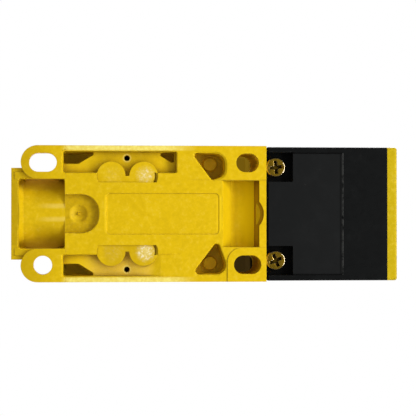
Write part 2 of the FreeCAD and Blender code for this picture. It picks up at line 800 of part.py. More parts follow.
def contact_bar(number):
    """From a plug sleeve along the aisle and out into one terminal."""
    x, y = terminal_spots()[number]
    lane = math.copysign(pin_pitch * (1.5 if x > terminal_xs[0] else 0.5), y)
    z0, z1 = bar_height, bar_height + bar_thickness
    w = bar_width / 2
    narrow = min(w, pin_pitch / 2 - 0.4)
    run = box(x - narrow, sleeve_back() + 0.5, lane - narrow, lane + narrow, z0, z1)
    y0, y1 = sorted((lane, y + math.copysign(clamp_depth / 2 + sliding_clearance, y)))
    leg = box(x - w, x + w, y0, y1, z0, z1)
    sleeve = along_x(lane, pin_height, sleeve_back(), plug_back, sleeve_radius)
    bore = along_x(lane, pin_height, sleeve_back() + 0.5, plug_back + 1, pin_radius)
    return joined([run, leg, sleeve]).cut(bore)


def pin_lanes():
    return [(i - 1.5) * pin_pitch for i in range(4)]


def contact_socket():
    block = box(sleeve_back(), plug_back, -plug_half, plug_half, front_floor, plug_high)
    holes = [along_x(y, pin_height, sleeve_back() - 1, plug_back + 1, sleeve_radius) for y in pin_lanes()]
    return without(block, holes)


def contact_pins():
    x0, x1 = plug_back - pin_rear_length, board_back() + pin_front_length
    return [along_x(y, pin_height, x0, x1, pin_radius) for y in pin_lanes()]


def board_back():
    return base_front + lug_pocket_length + 2.0


def plug_carrier():
    block = box(plug_back, board_back(), -plug_half, plug_half, plug_low, plug_high)
    holes = [along_x(y, pin_height, plug_back - 1, board_back() + 1, pin_radius) for y in pin_lanes()]
    return without(block, holes)


def head_seal_box(grow):
    y = plug_half + 0.4 + grow
    return box(base_front, base_front + head_seal_depth, -y, y, plug_low - 0.4 - grow, plug_high + 0.4 + grow)


def head_seal():
    return head_seal_box(head_seal_width).cut(head_seal_box(0))


def head_cavity():
    """The room inside the head, clear of the two screw lugs."""
    room = box(base_front + head_back_wall, head_front, -head_room, head_room,
               head_lift + head_wall, body_height - head_wall)
    reach = base_front + lug_pocket_length + 1.6
    top = tab_foot + tab_thickness + 1.8
    stays = []
    for s in (-1, 1):
        y0, y1 = sorted((s * (lug_screw_y - lug_pocket_width / 2 - 1.6), s * head_half))
        stays.append(box(base_front, reach, y0, y1, 0, top))
    return without(room, stays)


def head_shell():
    shell = eased_box(base_front, head_front, -head_half, head_half, head_lift, body_height, head_edge_radius,
                      lambda p: abs(abs(p.y) - head_half) < 0.01 and p.x < head_front - 0.01)
    half = head_half - head_label_margin
    label = rectangle(base_front - 3, base_front + head_label_length, -half, half, head_label_radius)
    tools = [head_cavity(), pocket(label, head_lift, head_lift + head_label_depth, 0.05, 0.1)]
    roof_half = head_half - roof_label_side_margin
    roof_label = rectangle(base_front + roof_label_rear_margin, head_front - roof_label_front_margin,
                           -roof_half, roof_half, roof_label_radius)
    tools.append(prism(roof_label, body_height - head_label_depth, body_height + 1))
    tools.append(box(base_front - 1, base_front + head_joint_length, -half_width, half_width,
                     head_lift - 1, head_lift + head_joint_height))
    for s in (-1, 1):
        y0 = s * lug_screw_y - lug_pocket_width / 2
        y1 = y0 + lug_pocket_width
        x1 = base_front + lug_pocket_length
        tools.append(pocket(rectangle(base_front - 3, x1, y0, y1, lug_pocket_radius),
                            head_lift, lug_seat, 0.1))
        tools.append(upright(lug_screw_x, s * lug_screw_y, lug_seat - 1, tab_foot + 1,
                             lug_screw_radius + 0.2))
        tools.append(box(base_front - 1, x1, y0, y1, tab_foot, tab_foot + tab_thickness + tab_clearance))
    tools.append(box(base_front - 1, base_front + head_back_wall + 1, -plug_half, plug_half,
                     plug_low, plug_high))
    tools.append(head_seal_box(head_seal_width))
    for x, y in led_spots():
        tools.append(upright(x, y, body_height - head_wall - 1, body_height + 1, guide_radius))
    return without(shell, tools)


def head_screws():
    top = lug_seat - lug_screw_head_height
    end = tab_foot + tab_thickness - 0.6
    return [upright(lug_screw_x, s * lug_screw_y, top, lug_seat, lug_screw_head_radius).fuse(
        upright(lug_screw_x, s * lug_screw_y, lug_seat, end, lug_screw_radius)) for s in (-1, 1)]


def head_inserts():
    top = tab_foot + tab_thickness
    return [upright(lug_screw_x, s * lug_screw_y, tab_foot, top, lug_screw_radius + lug_insert_wall).cut(
        upright(lug_screw_x, s * lug_screw_y, tab_foot - 1, top + 1, lug_screw_radius)) for s in (-1, 1)]


def active_face_cap():
    plate_box = eased_box(head_front, face_front, -head_half, head_half, head_lift, body_height,
                          head_edge_radius, lambda p: p.x > head_front + 0.01)
    x0 = head_front - face_skirt_depth
    low, high = head_lift + head_wall, body_height - head_wall
    skirt = box(x0, head_front, -head_room, head_room, low, high)
    inner = head_room - face_skirt_wall
    room = box(x0 - 1, head_front, -inner, inner, low + face_skirt_wall, high - face_skirt_wall)
    return plate_box.fuse(skirt.cut(room)).removeSplitter()


def core_back():
    return head_front - core_length


def ferrite_core():
    whole = along_x(0, head_axis, core_back(), head_front, core_radius)
    gap = along_x(0, head_axis, core_back() + core_base, head_front + 1, core_radius - core_rim)
    post = along_x(0, head_axis, core_back(), head_front, core_post_radius)
    lead_way = box(core_back() - 1, core_back() + core_base + 1, -1.2, 1.2,
                   head_axis - core_radius + core_rim + 0.5, head_axis - core_radius + core_rim + 2.6)
    return joined([whole.cut(gap), post]).cut(lead_way)


def coil_bobbin():
    x0, x1 = core_back() + core_base, head_front
    outer = core_radius - core_rim
    spool = along_x(0, head_axis, x0, x1, outer)
    room = along_x(0, head_axis, x0 + bobbin_wall, x1 - bobbin_wall, outer + 1).cut(
        along_x(0, head_axis, x0, x1, core_post_radius + bobbin_wall))
    bore = along_x(0, head_axis, x0 - 1, x1 + 1, core_post_radius)
    lead_way = box(x0 - 1, x0 + bobbin_wall + 0.1, -1.2, 1.2,
                   head_axis - outer + 0.5, head_axis - outer + 2.6)
    return without(spool, [room, bore, lead_way])


def coil_winding():
    x0, x1 = core_back() + core_base + bobbin_wall, head_front - bobbin_wall
    outer = core_radius - core_rim - winding_slack
    return along_x(0, head_axis, x0, x1, outer).cut(
        along_x(0, head_axis, x0 - 1, x1 + 1, core_post_radius + bobbin_wall))


def board_top():
    return pin_height - pin_radius


def board_front():
    return core_back() - board_gap


def circuit_board():
    return box(board_back(), board_front(), -board_half, board_half,
               board_top() - board_thickness, board_top())


def driver_chip():
    z = board_top()
    x = (board_back() + board_front()) / 2
    y = board_half - chip_inset
    length, width = chip_length / 2, chip_width / 2
    body = box(x - length, x + length, y - width, y + width, z + 0.2, z + 0.2 + chip_height)
    legs = []
    for i in range(4):
        leg = x + (i - 1.5) * chip_leg_pitch
        legs.append(box(leg - chip_leg_width / 2, leg + chip_leg_width / 2, y - width - chip_leg_reach,
                        y + width + chip_leg_reach, z, z + 0.4))
    return joined([body] + legs)


def capacitors():
    z = board_top()
    x = (board_back() + board_front()) / 2
    y = capacitor_inset - board_half
    return [upright(x + s * capacitor_spacing / 2, y, z, z + capacitor_height, capacitor_radius)
            for s in (-1, 1)]


def resistors():
    z = board_top()
    x = board_front() - resistor_setback
    length, width = resistor_length / 2, resistor_width / 2
    rows = [(i - 1.5) * resistor_pitch for i in range(4)]
    return [box(x - length, x + length, y - width, y + width, z, z + resistor_height) for y in rows]


def led_spots():
    return [(board_back() + led_setback, s * (head_half - led_inset)) for s in (-1, 1)]


def indicator_leds():
    z = board_top()
    h = led_size / 2
    return [box(x - h, x + h, y - h, y + h, z, z + led_height) for x, y in led_spots()]


def light_guides():
    """Two clear rods that bring the light of the indicators to the roof of the head."""
    z = board_top() + led_height
    return [upright(x, y, z, body_height, guide_radius) for x, y in led_spots()]


def coil_leads():
    """Two enamelled wires from the winding back to the board."""
    z = head_axis - core_radius + core_rim + 1.5
    x0, x1 = board_front() - 2.2, core_back() + core_base + bobbin_wall
    low = board_top()
    out = []
    for y in (-0.6, 0.6):
        run = along_x(y, z, x0 - lead_radius, x1, lead_radius)
        if z > low + lead_radius:
            drop = upright(x0, y, low, z, lead_radius)
        else:
            drop = upright(x0, y, z, low - board_thickness, lead_radius)
        out.append(joined([run, drop]))
    return out


def export(name, shapes):
    if not isinstance(shapes, list):
        shapes = [shapes]
    solids = [solid for s in shapes for solid in s.Solids]
    shape = solids[0] if len(solids) == 1 else Part.makeCompound(solids)
    shape.exportStep("parts/" + name + ".step")
    return shape


def potting_resin(embedded):
    """Fills what the sensing system and the board leave of the head, in front of the lugs."""
    fill = box(board_back(), head_front, -head_room, head_room,
               head_lift + head_wall, body_height - head_wall)
    return without(fill, embedded)


def main():
    os.makedirs("parts", exist_ok=True)
    pieces = {
        "base_housing": base_housing(),
        "terminal_cover": terminal_cover(),
        "cover_seal": seal_ring(base_height, seal_depth),
        "cover_screws": lid_screws(),
        "screw_retainers": lid_retainers(),
        "cover_inserts": lid_inserts(),
        "terminal_carrier": terminal_carrier(),
        "carrier_screws": carrier_screws(),
        "contact_socket": contact_socket(),
        "head_shell": head_shell(),
        "active_face_cap": active_face_cap(),
        "head_seal": head_seal(),
        "head_screws": head_screws(),
        "head_inserts": head_inserts(),
        "plug_carrier": plug_carrier(),
        "contact_pins": contact_pins(),
        "circuit_board": circuit_board(),
        "driver_chip": driver_chip(),
        "capacitors": capacitors(),
        "resistors": resistors(),
        "indicator_leds": indicator_leds(),
        "light_guides": light_guides(),
        "ferrite_core": ferrite_core(),
        "coil_bobbin": coil_bobbin(),
        "coil_winding": coil_winding(),
        "coil_leads": coil_leads(),
    }
    for i, (x, y) in enumerate(terminal_spots()):
        pieces["terminal_screw_%d" % (i + 1)] = terminal_screw(x, y)
        pieces["terminal_clamp_%d" % (i + 1)] = terminal_clamp(x, y)
        pieces["contact_bar_%d" % (i + 1)] = contact_bar(i)
    built = {name: export(name, shapes) for name, shapes in pieces.items()}
    inside = ["active_face_cap", "ferrite_core", "coil_bobbin", "coil_winding", "coil_leads", "circuit_board",
              "driver_chip", "capacitors", "resistors", "indicator_leds", "light_guides", "contact_pins"]
    export("potting_resin", potting_resin([built[name] for name in inside]))


main()
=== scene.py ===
"""Looks of the inductive proximity sensor: finishes, screws, entry thread, stage and camera.

Metres, in the part's own frame: the mounting face is at z 0, and the camera looks up at it.
"""

import json
import math
from collections import namedtuple

import bmesh
import bpy
from mathutils import Matrix, Vector

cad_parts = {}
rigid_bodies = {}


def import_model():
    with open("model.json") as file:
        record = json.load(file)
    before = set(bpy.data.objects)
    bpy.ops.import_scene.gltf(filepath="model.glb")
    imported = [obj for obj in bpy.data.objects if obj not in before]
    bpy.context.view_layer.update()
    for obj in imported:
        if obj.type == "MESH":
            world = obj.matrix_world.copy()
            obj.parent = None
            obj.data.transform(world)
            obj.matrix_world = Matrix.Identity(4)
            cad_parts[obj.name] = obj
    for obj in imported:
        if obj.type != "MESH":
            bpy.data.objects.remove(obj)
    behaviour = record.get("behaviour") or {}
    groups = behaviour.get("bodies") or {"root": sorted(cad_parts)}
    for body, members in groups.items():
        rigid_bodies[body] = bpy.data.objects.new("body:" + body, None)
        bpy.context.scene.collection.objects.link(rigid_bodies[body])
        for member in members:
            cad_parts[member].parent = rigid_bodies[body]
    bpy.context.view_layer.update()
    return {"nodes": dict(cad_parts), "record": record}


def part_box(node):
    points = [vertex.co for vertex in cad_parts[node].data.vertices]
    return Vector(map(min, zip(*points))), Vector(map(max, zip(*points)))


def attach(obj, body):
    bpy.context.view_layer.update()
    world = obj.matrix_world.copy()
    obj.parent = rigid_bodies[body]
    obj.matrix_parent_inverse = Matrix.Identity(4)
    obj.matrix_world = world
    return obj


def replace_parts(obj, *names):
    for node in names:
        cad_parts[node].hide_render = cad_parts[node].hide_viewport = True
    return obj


MM = 0.001


def mm(*lengths):
    """Lengths given in millimetres, in metres."""
    return tuple(length * MM for length in lengths)


# The camera, fitted to the photograph
IMAGE_SIZE = 416
SENSOR_WIDTH = 36.0
FOCAL_PIXELS = 1536.9
CAMERA_PLACE = Vector((-0.0200, 0.0030, -0.4500))
CAMERA_AIM = Vector((0.0183, -0.0017, 0.0))
CAMERA_NEAR = 0.01
CAMERA_FAR = 20.0

# The stage: the floor, which fades to white away from the part, the light all round and the lamps
WHITE = (1, 1, 1, 1)
BLACK = (0, 0, 0, 1)
FLOOR_SIZE = 3.0
FLOOR_DROP = 0.0004
FLOOR_TONES = ((0.80, 0.80, 0.79, 1), (0.84, 0.84, 0.83, 1))
FLOOR_CLOUDS = 6.0
FLOOR_FADE = (0.16, 0.55)
AMBIENT = 0.60
DARK_SIDE = 0.06
BRIGHT_SKY = (0.4, 0.75)
LAMP_AIM = Vector((0.018, 0.0, 0.012))
Lamp = namedtuple("Lamp", "place width height power")
LAMPS = {
    "key_below": Lamp((0.34, -0.02, -0.28), 0.50, 0.14, 1.52),
    "glint_below": Lamp((0.32, 0.0, -0.31), 0.30, 0.08, 0.70),
    "key_above": Lamp((0.15, -0.45, 0.50), 0.40, 0.40, 3.6),
    "fill_above": Lamp((-0.45, -0.10, 0.42), 0.50, 0.50, 1.2),
    "back_above": Lamp((0.10, 0.50, 0.45), 0.40, 0.40, 1.2),
}

# Screw heads and their drives, in shares of the head's radius or height
CROWN_RINGS = (0.3, 0.55)
CROWN_FLAT = 0.86
CROWN_FALL = 0.06
CROWN_CORNER = 0.26
CORNER_DEGREES = (18.0, 36.0, 54.0, 72.0, 90.0)
RIM_HEIGHT = 0.06
SEAT_RADIUS = 0.96
CROSS_REACH = 0.66
CROSS_WIDTH = 0.15
CROSS_DEPTH = 0.80
CROSS_TAPER = 0.72
CROSS_FLARE = 0.09
FLARE_DEPTH = 0.45
SLOT_LENGTH = 2.4
SLOT_WIDTH = 0.22
SLOT_DEPTH = 0.55
CUTTER_TOP = 1.1

# The kinds of screw: height of the head, radius of the shank, and how far the drives are turned
Screw = namedtuple("Screw", "slot drive faces_up head shank first_turn next_turn")
HEAD_SCREW = Screw("zinc_screw", "cross", False, 2.2 * MM, 1.5 * MM, 0.12, 0.28)
COVER_SCREW = Screw("zinc_screw", "cross", True, 2.0 * MM, 1.45 * MM, 0.4, 0.5)
CARRIER_SCREW = Screw("plated_steel", "cross", True, 1.5 * MM, 1.1 * MM, 0.3, 0.7)
TERMINAL_SCREW = Screw("plated_steel", "slot", True, 1.8 * MM, 1.6 * MM, 0.35, 0.35)
COVER_SCREW_RADIUS = 2.5 * MM
TERMINALS = 4

# Threads of the screws and of the cable entry
SCREW_PITCH = 0.5 * MM
THREAD_DEPTH = 0.6
THREAD_STEPS = 8
ROUND_STEPS = 48
ENTRY_PITCH = 1.5 * MM
ENTRY_RIDGE = 0.81 * MM
ENTRY_RIDGE_TOP = 1.35
ENTRY_RIDGE_SLOPE = 2.2
ENTRY_THREAD_START = 0.4 * MM
ENTRY_THREAD_LENGTH = 14.0 * MM
ENTRY_WALL_BITE = 0.04 * MM
ENTRY_STEPS = 96
SMOOTH_ANGLE = math.radians(35)
ENTRY_SMOOTH_ANGLE = math.radians(50)

# How every finish eases its edges and finds its recesses
EDGE_GAIN = 4.0
EASE_SAMPLES = 4
SKY_SAMPLES = 8
HOLLOW_SKY = (0.3, 0.8)
BLIND_SKY = (0.15, 0.4)
RELIEF_SCALE = 1.0 * MM

# In the finishes below, a noise is (size of its features, detail, roughness). Two values are where a
# mask rises or falls, three are (middle, full within, none beyond), and four are (begins, full, fades,
# ended). A box is two corners, a cover is the share laid on (where its mask is 0, where it is 1), and a
# tint is (tone as a screen shows it, share laid on).

# Yellow plastic: flow, grain and mottling all over
YELLOW_EDGE = 0.2 * MM
FACING_DOWN = -0.6
UPRIGHT = 0.4
FLOW, FLOW_SPAN = (2.2 * MM, 5.0, 0.7), (0.3, 0.7)
FINE, FINE_SPAN = (0.9 * MM, 3.0, 0.6), (0.35, 0.7)
FINE_TINT = ((240, 202, 30), 0.15)
MOTTLE, DARK_SPAN, PALE_SPAN = (1.3 * MM, 4.0, 0.7), (0.3, 0.55), (0.5, 0.72)
DARK_MOTTLE = ((186, 146, 2), 0.18)
PALE_MOTTLE = ((252, 220, 90), 0.18)
GRAIN, GRAIN_RELIEF = (0.22 * MM, 2.0), 0.02
SATIN, SATIN_ROUGHNESS = (3 * MM, 2.0), (0.34, 0.46)
DULL_ROUGHNESS = 0.5
YELLOW_GLOSS = 0.1

# Yellow plastic: the floors of the recesses, with painted shade and painted light on them
WINDOW_BACK, WINDOW_FRONT = mm(-37.0, -23.5)
CRADLE_SIDE = 7.0 * MM
RECESS_HEIGHT = mm(1.4, 2.1, 3.3, 3.6)
RECESS_COVER = (0.25, 0.55)
RECESS_SHADE_TINT = ((172, 132, 5), 1)
CHANNEL_HEIGHT = mm(0.9, 1.8, 3.3, 3.6)
CHANNEL_SIDE = mm(9, 9.4, 18.4, 18.8)
CHANNEL_END = mm(8, 12)
CHANNEL_COVER = (0.35, 0.70)
CHANNEL_LIGHT_TINT = ((255, 214, 16), 1)
PATCH_ALONG = mm(-20, -12, 1, 5)
PATCH_COVER = (0.5, 0.8)
PATCH_LIGHT_TINT = ((255, 214, 84), 1)
SCOOP_FLOOR = (mm(22, -9.9, 5.0), mm(36, 9.9, 6.6))
SCOOP_FLOOR_ALONG = mm(27.5, 30.5)
SCOOP_FLOOR_LIGHT_TINT = ((255, 215, 5), 1)
CORES = ((mm(-24.9, 14, 3.1), mm(-15.5, 18.5, 13)), (mm(-24.9, -18.5, 3.1), mm(-15.5, -14, 13)))
CORE_LIGHT_TINT = ((255, 228, 24), 1)

# Yellow plastic: painted shade on the rear face and the scoop's bend, painted highlights on the rims,
# and edges rubbed pale with a painted highlight
REAR_ALONG = mm(-36, -25)
REAR_SIDE = mm(9.5, 10.5)
REAR_SHADE_TINT = ((180, 145, 2), 0.4)
LOW_FACES = 1.2 * MM
RIM_SIDE = mm(18.3, 18.9)
RIM_ALONG = mm(-25, -22, 6, 16)
RIM_COVER = (0.5, 0.9)
RIM_HIGHLIGHT_TINT = ((255, 240, 130), 1)
SCOOP_BEND = (mm(23, -9.9, 2.0), mm(29, 9.9, 7.0))
SCOOP_BEND_ALONG = mm(24.8, 26.2, 26.9, 28.2)
SCOOP_BEND_SHADE_TINT = ((150, 108, 0), 0.33)
EDGE_WEAR_AND_HIGHLIGHT_TINT = ((248, 216, 70), 0.3)

# Yellow plastic: painted shade on the walls and in the depths of the recesses, painted light on the two
# ends of the panel and in the pale slot
SCOOP = (mm(22, -9.9, 1.0), mm(36, 9.9, 7.0))
SCOOP_SIDE = 10.0 * MM
SCOOP_WALLS = (mm(30, -9.9, 0.4), mm(36, 9.9, 6.6))
SCOOP_WALL_SHADE_TINT = ((118, 80, 2), 0.6)
HOLLOW_REACH = 4.5 * MM
HOLLOW_SHADE_TINT = ((118, 80, 2), 0.65)
POCKETS = (mm(-24.5, -19.3, 0.12), mm(35.4, 19.3, 3.0))
POCKET_WALL_HEIGHT = mm(1.0, 2.6)
POCKET_WALL_SHADE_TINT = ((118, 74, 0), 0.6)
PANEL_REAR_END = mm(-11.6, 0.15, 0.75)
PANEL_FRONT_END = mm(21.6, 0.3, 1.0)
PANEL_END_SIDE = mm(4.6, 6.0)
PANEL_END_HEIGHT = 0.9 * MM
PANEL_END_HIGHLIGHT_TINT = ((255, 214, 20), 0.6)
PALE_SLOT = (mm(26, -18, 0.6), mm(33.8, -12, 22))
PALE_SLOT_LIGHT_TINT = ((232, 196, 40), 1)

# Yellow plastic: the cable tube in its window, with painted shade beside it and on its flanks and two
# painted highlight streaks
TUBE_SIDE = mm(5, 10)
TUBE_SIDE_TILT = (-0.5, -0.05)
TUBE_SIDE_HEIGHT = mm(2.5, 5, 8, 11)
TUBE_SIDE_COVER = (0.65, 0.50)
TUBE_TILT = -0.2
TUBE_HEIGHT = mm(1.5, 2.0, 8, 9)
FLANK_SIDE = mm(1.5, 6.5, 7, 9)
FLANK_ALONG = mm(-34, -31)
FLANK_FADE = mm(-28, -25)
FLANK_COVER = (0.32, 0.18)
TUBE_SHADE = ((118, 78, 1), 1)
STREAK_MIDDLE = -0.35 * MM
STREAK_SIDE = mm(1.95, 0.2, 1.0)
STREAK_ALONG = mm(-33, -26)
STREAK_HIGHLIGHT_TINT = ((255, 226, 116), 0.35)

# Yellow plastic: the dimple in painted light and shade, the holes of the core pins, and the frosted
# lobes with painted sheen and glints, on a shelf with painted shade
DIMPLE_X = -19.50 * MM
DIMPLE_RADII = mm(2.5, 3.1)
DIMPLE_TURN = (DIMPLE_X - 1.4 * MM, DIMPLE_X + 2.0 * MM)
DIMPLE_LIGHT = ((255, 218, 40), 0.4)
DIMPLE_SHADE = ((140, 98, 0), 0.3)
PIN_HOLE = mm(-5.40, 16.40)
PIN_RIM_RADII = mm(1.15, 1.4)
PIN_RIM_TINT = ((255, 232, 120), 0.45)
SHELF_EDGE = 9.2 * MM
LOBE_XS = mm(-9.6, -0.1)
LOBE_Y = 11.3 * MM
REAR_LOBE_RADII = mm(0.8, 3.6)
REAR_LOBE_COVER = 0.06
FRONT_LOBE_RADII = mm(0.8, 3.3)
FRONT_LOBE_COVER = (0.5, 0.9)
SHELF_SHADE_RADII = mm(6.5, 8.5)
SHELF_SHADE_TINT = ((150, 112, 2), 0.2)
FROST, FROST_SPAN, GLINT_SPAN = (0.8 * MM, 3.0, 0.65), (0.3, 0.6), (0.5, 0.68)
FROST_COVER = (0.25, 0.75)
FROST_SHEEN_TINT = ((252, 234, 156), 1)
GLINT_TINT = ((255, 252, 232), 0.9)
FROST_RELIEF = 0.12

# Black plastic, with the label field under the head and a painted highlight and painted shadow along
# its edge, painted shade in hollows, and a painted glow on the lid's inside over the front slots
BLACK_EDGE = 0.15 * MM
FOOT_HEIGHT = 1.0 * MM
FOOT_TILT = -0.9
LABEL_EDGE = 58.4 * MM
LABEL_SIDE = 17.95 * MM
RUB, RUB_SPAN = (9 * MM, 4.0, 0.7), (0.45, 0.75)
RUB_COVER, LABEL_COVER = 0.35, 0.6
RUB_LIFT = 12
DUSTY_LIFT, DUSTY_COVER = 36, 0.5
SCUFF, HIGHLIGHT_LINE_SPAN, SPECK_SPAN = (1.3 * MM, 3.0, 0.6), (0.36, 0.56), (0.74, 0.78)
HIGHLIGHT_LINE = mm(0.08, 0.32)
HIGHLIGHT_LINE_TINT = ((86, 86, 84), 0.8)
BORDER = mm(0.1, 0.35)
BORDER_INSET = 0.55 * MM
BORDER_SHADOW_TINT = ((5, 5, 5), 0.7)
SPECK_TINT = ((74, 74, 72), 0.5)
BLACK_HOLLOW_REACH = 6.0 * MM
BLACK_HOLLOW_SHADE_TINT = ((3, 3, 3), 0.8)
BLACK_CLOUD = (2 * MM, 3.0)
LABEL_ROUGHNESS = 0.06
BRIGHT_WELL = (mm(24, -18.5, 27.9), mm(35.4, -10, 38.2))
BRIGHT_WELL_TONE = (112, 86, 14)
DIM_WELL = (mm(24, 10, 27.9), mm(35.4, 18.5, 38.2))
DIM_WELL_TONE = (48, 36, 14)

# Plated metal, with painted shade in its recesses
METAL_EDGE = 0.08 * MM
PLATING, PLATING_SPAN = (0.8 * MM, 3.0), (0.3, 0.7)
PLATING_DARK = 0.86
RUBBED_SLOPE = (0.02, 0.06, 0.11, 0.22)
RUBBED_COVER, METAL_EDGE_COVER = 0.7, 0.1
RUBBED_SMOOTHER = 0.06
METAL_RECESS_REACH = 0.9 * MM
METAL_RECESS_SHADE_TINT = ((6, 5, 3), 0.9)
SHINE_SLOPE = (0.01, 0.05)
METAL_CLOUD = (0.35 * MM, 2.0)
TURNING_MARKS, TURNING_RELIEF = (0.09 * MM, 1.0), 0.006
ROUGHNESS_WIDTH = 0.12

# Plain plastic, copper wire with painted shade between its turns, the circuit board and the light
# guides
PLAIN_EDGE = 0.12 * MM
PLAIN_SPAN = (0.35, 0.65)
PLAIN_CLOUD, PLAIN_ROUGHNESS_WIDTH = (0.6 * MM, 2.0), 0.14
PLAIN_GRAIN, PLAIN_RELIEF = (0.15 * MM, 2.0), 0.015
WIRE_EDGE = 0.05 * MM
WIRE_PITCH = 0.3 * MM
WIRE_SHADED_AND_LIT_TONES = ((120, 52, 22), (206, 112, 62))
WIRE_METALLIC = 0.85
WIRE_CLOUD, WIRE_ROUGHNESS = 1 * MM, (0.25, 0.35)
WIRE_RELIEF = 0.1
BOARD_EDGE = 0.08 * MM
LANE_PITCH = 1.6 * MM
LANE_BEGIN, LANE_END = 0.35, 0.62
LANE_BREAKS, LANE_BREAK_SPAN = (6 * MM, 0.0), (0.47, 0.5)
BOARD_TONES = ((22, 84, 40), (46, 122, 58))
BOARD_CLOUD, BOARD_ROUGHNESS = 2 * MM, (0.3, 0.4)
BOARD_RELIEF = 0.03
GUIDE_EDGE = 0.1 * MM
GUIDE_MILK = (1.2 * MM, 2.0)
GUIDE_TONES = ((214, 222, 214), (236, 240, 234))
GUIDE_CLOUD, GUIDE_ROUGHNESS = 0.5 * MM, (0.08, 0.18)
GUIDE_CLEARNESS = 0.7

# A Mix node's sockets for colours
MIX_SHARE, MIX_FIRST, MIX_SECOND, MIX_RESULT = 0, 6, 7, 2


class Sock:
    """A socket of a node tree. Arithmetic on it adds Math nodes, and node() adds any other."""

    def __init__(self, tree, end=None):
        self.tree = tree
        self.end = end

    def node(self, kind, settings=None, sockets=None, out=0):
        """Adds a node: its settings first, then the values or links of its sockets."""
        made = self.tree.nodes.new("ShaderNode" + kind)
        for key, value in (settings or {}).items():
            setattr(made, key, value)
        for key, value in (sockets or {}).items():
            if isinstance(value, Sock):
                self.tree.links.new(value.end, made.inputs[key])
            else:
                made.inputs[key].default_value = value
        return Sock(self.tree, made.outputs[out])

    def math(self, operation, *terms):
        return self.node("Math", {"operation": operation}, dict(enumerate(terms)))

    def __add__(self, other):
        return self.math("ADD", self, other)

    def __sub__(self, other):
        return self.math("SUBTRACT", self, other)

    def __rsub__(self, other):
        return self.math("SUBTRACT", other, self)

    def __mul__(self, other):
        return self.math("MULTIPLY", self, other)

    def __pow__(self, other):
        return self.math("POWER", self, other)

    def __gt__(self, other):
        return self.math("GREATER_THAN", self, other)

    def __lt__(self, other):
        return self.math("LESS_THAN", self, other)

    def __abs__(self):
        return self.math("ABSOLUTE", self)

    __radd__ = __add__
    __rmul__ = __mul__

    def axes(self):
        """The three parts of a vector."""
        parts = self.node("SeparateXYZ", {}, {0: self}).end.node.outputs
        return [Sock(self.tree, part) for part in parts]

    def clamped(self):
        return self.node("Clamp", {}, {0: self})

    def rising(self, low, high):
        """0 below low, 1 above high, smooth in between."""
        settings = {"interpolation_type": "SMOOTHSTEP"}
        return self.node("MapRange", settings, {"Value": self, "From Min": low, "From Max": high})

    def falling(self, low, high):
        """1 below low, 0 above high, smooth in between."""
        return 1 - self.rising(low, high)

    def band(self, begin, full, fade, end):
        """0 before begin and after end, 1 from full to fade, smooth in between."""
        return self.rising(begin, full) * self.falling(fade, end)

    def near(self, middle, inner, outer):
        """1 within inner of the middle, 0 beyond outer, smooth in between."""
        return abs(self - middle).falling(inner, outer)

    def spread(self, low, high):
        """low where this socket is 0, high where it is 1."""
        return self * (high - low) + low

    def mixed(self, first, second):
        """first where this socket is 0, second where it is 1; both are colours."""
        sockets = {MIX_SHARE: self, MIX_FIRST: first, MIX_SECOND: second}
        return self.node("Mix", {"data_type": "RGBA"}, sockets, MIX_RESULT)


def linear(tone):
    """A tone as a screen shows it, 0 to 255, as the light it stands for."""
    shares = [c / 255 for c in tone]
    light = [s / 12.92 if s <= 0.04045 else ((s + 0.055) / 1.055) ** 2.4 for s in shares]
    return (*light, 1)


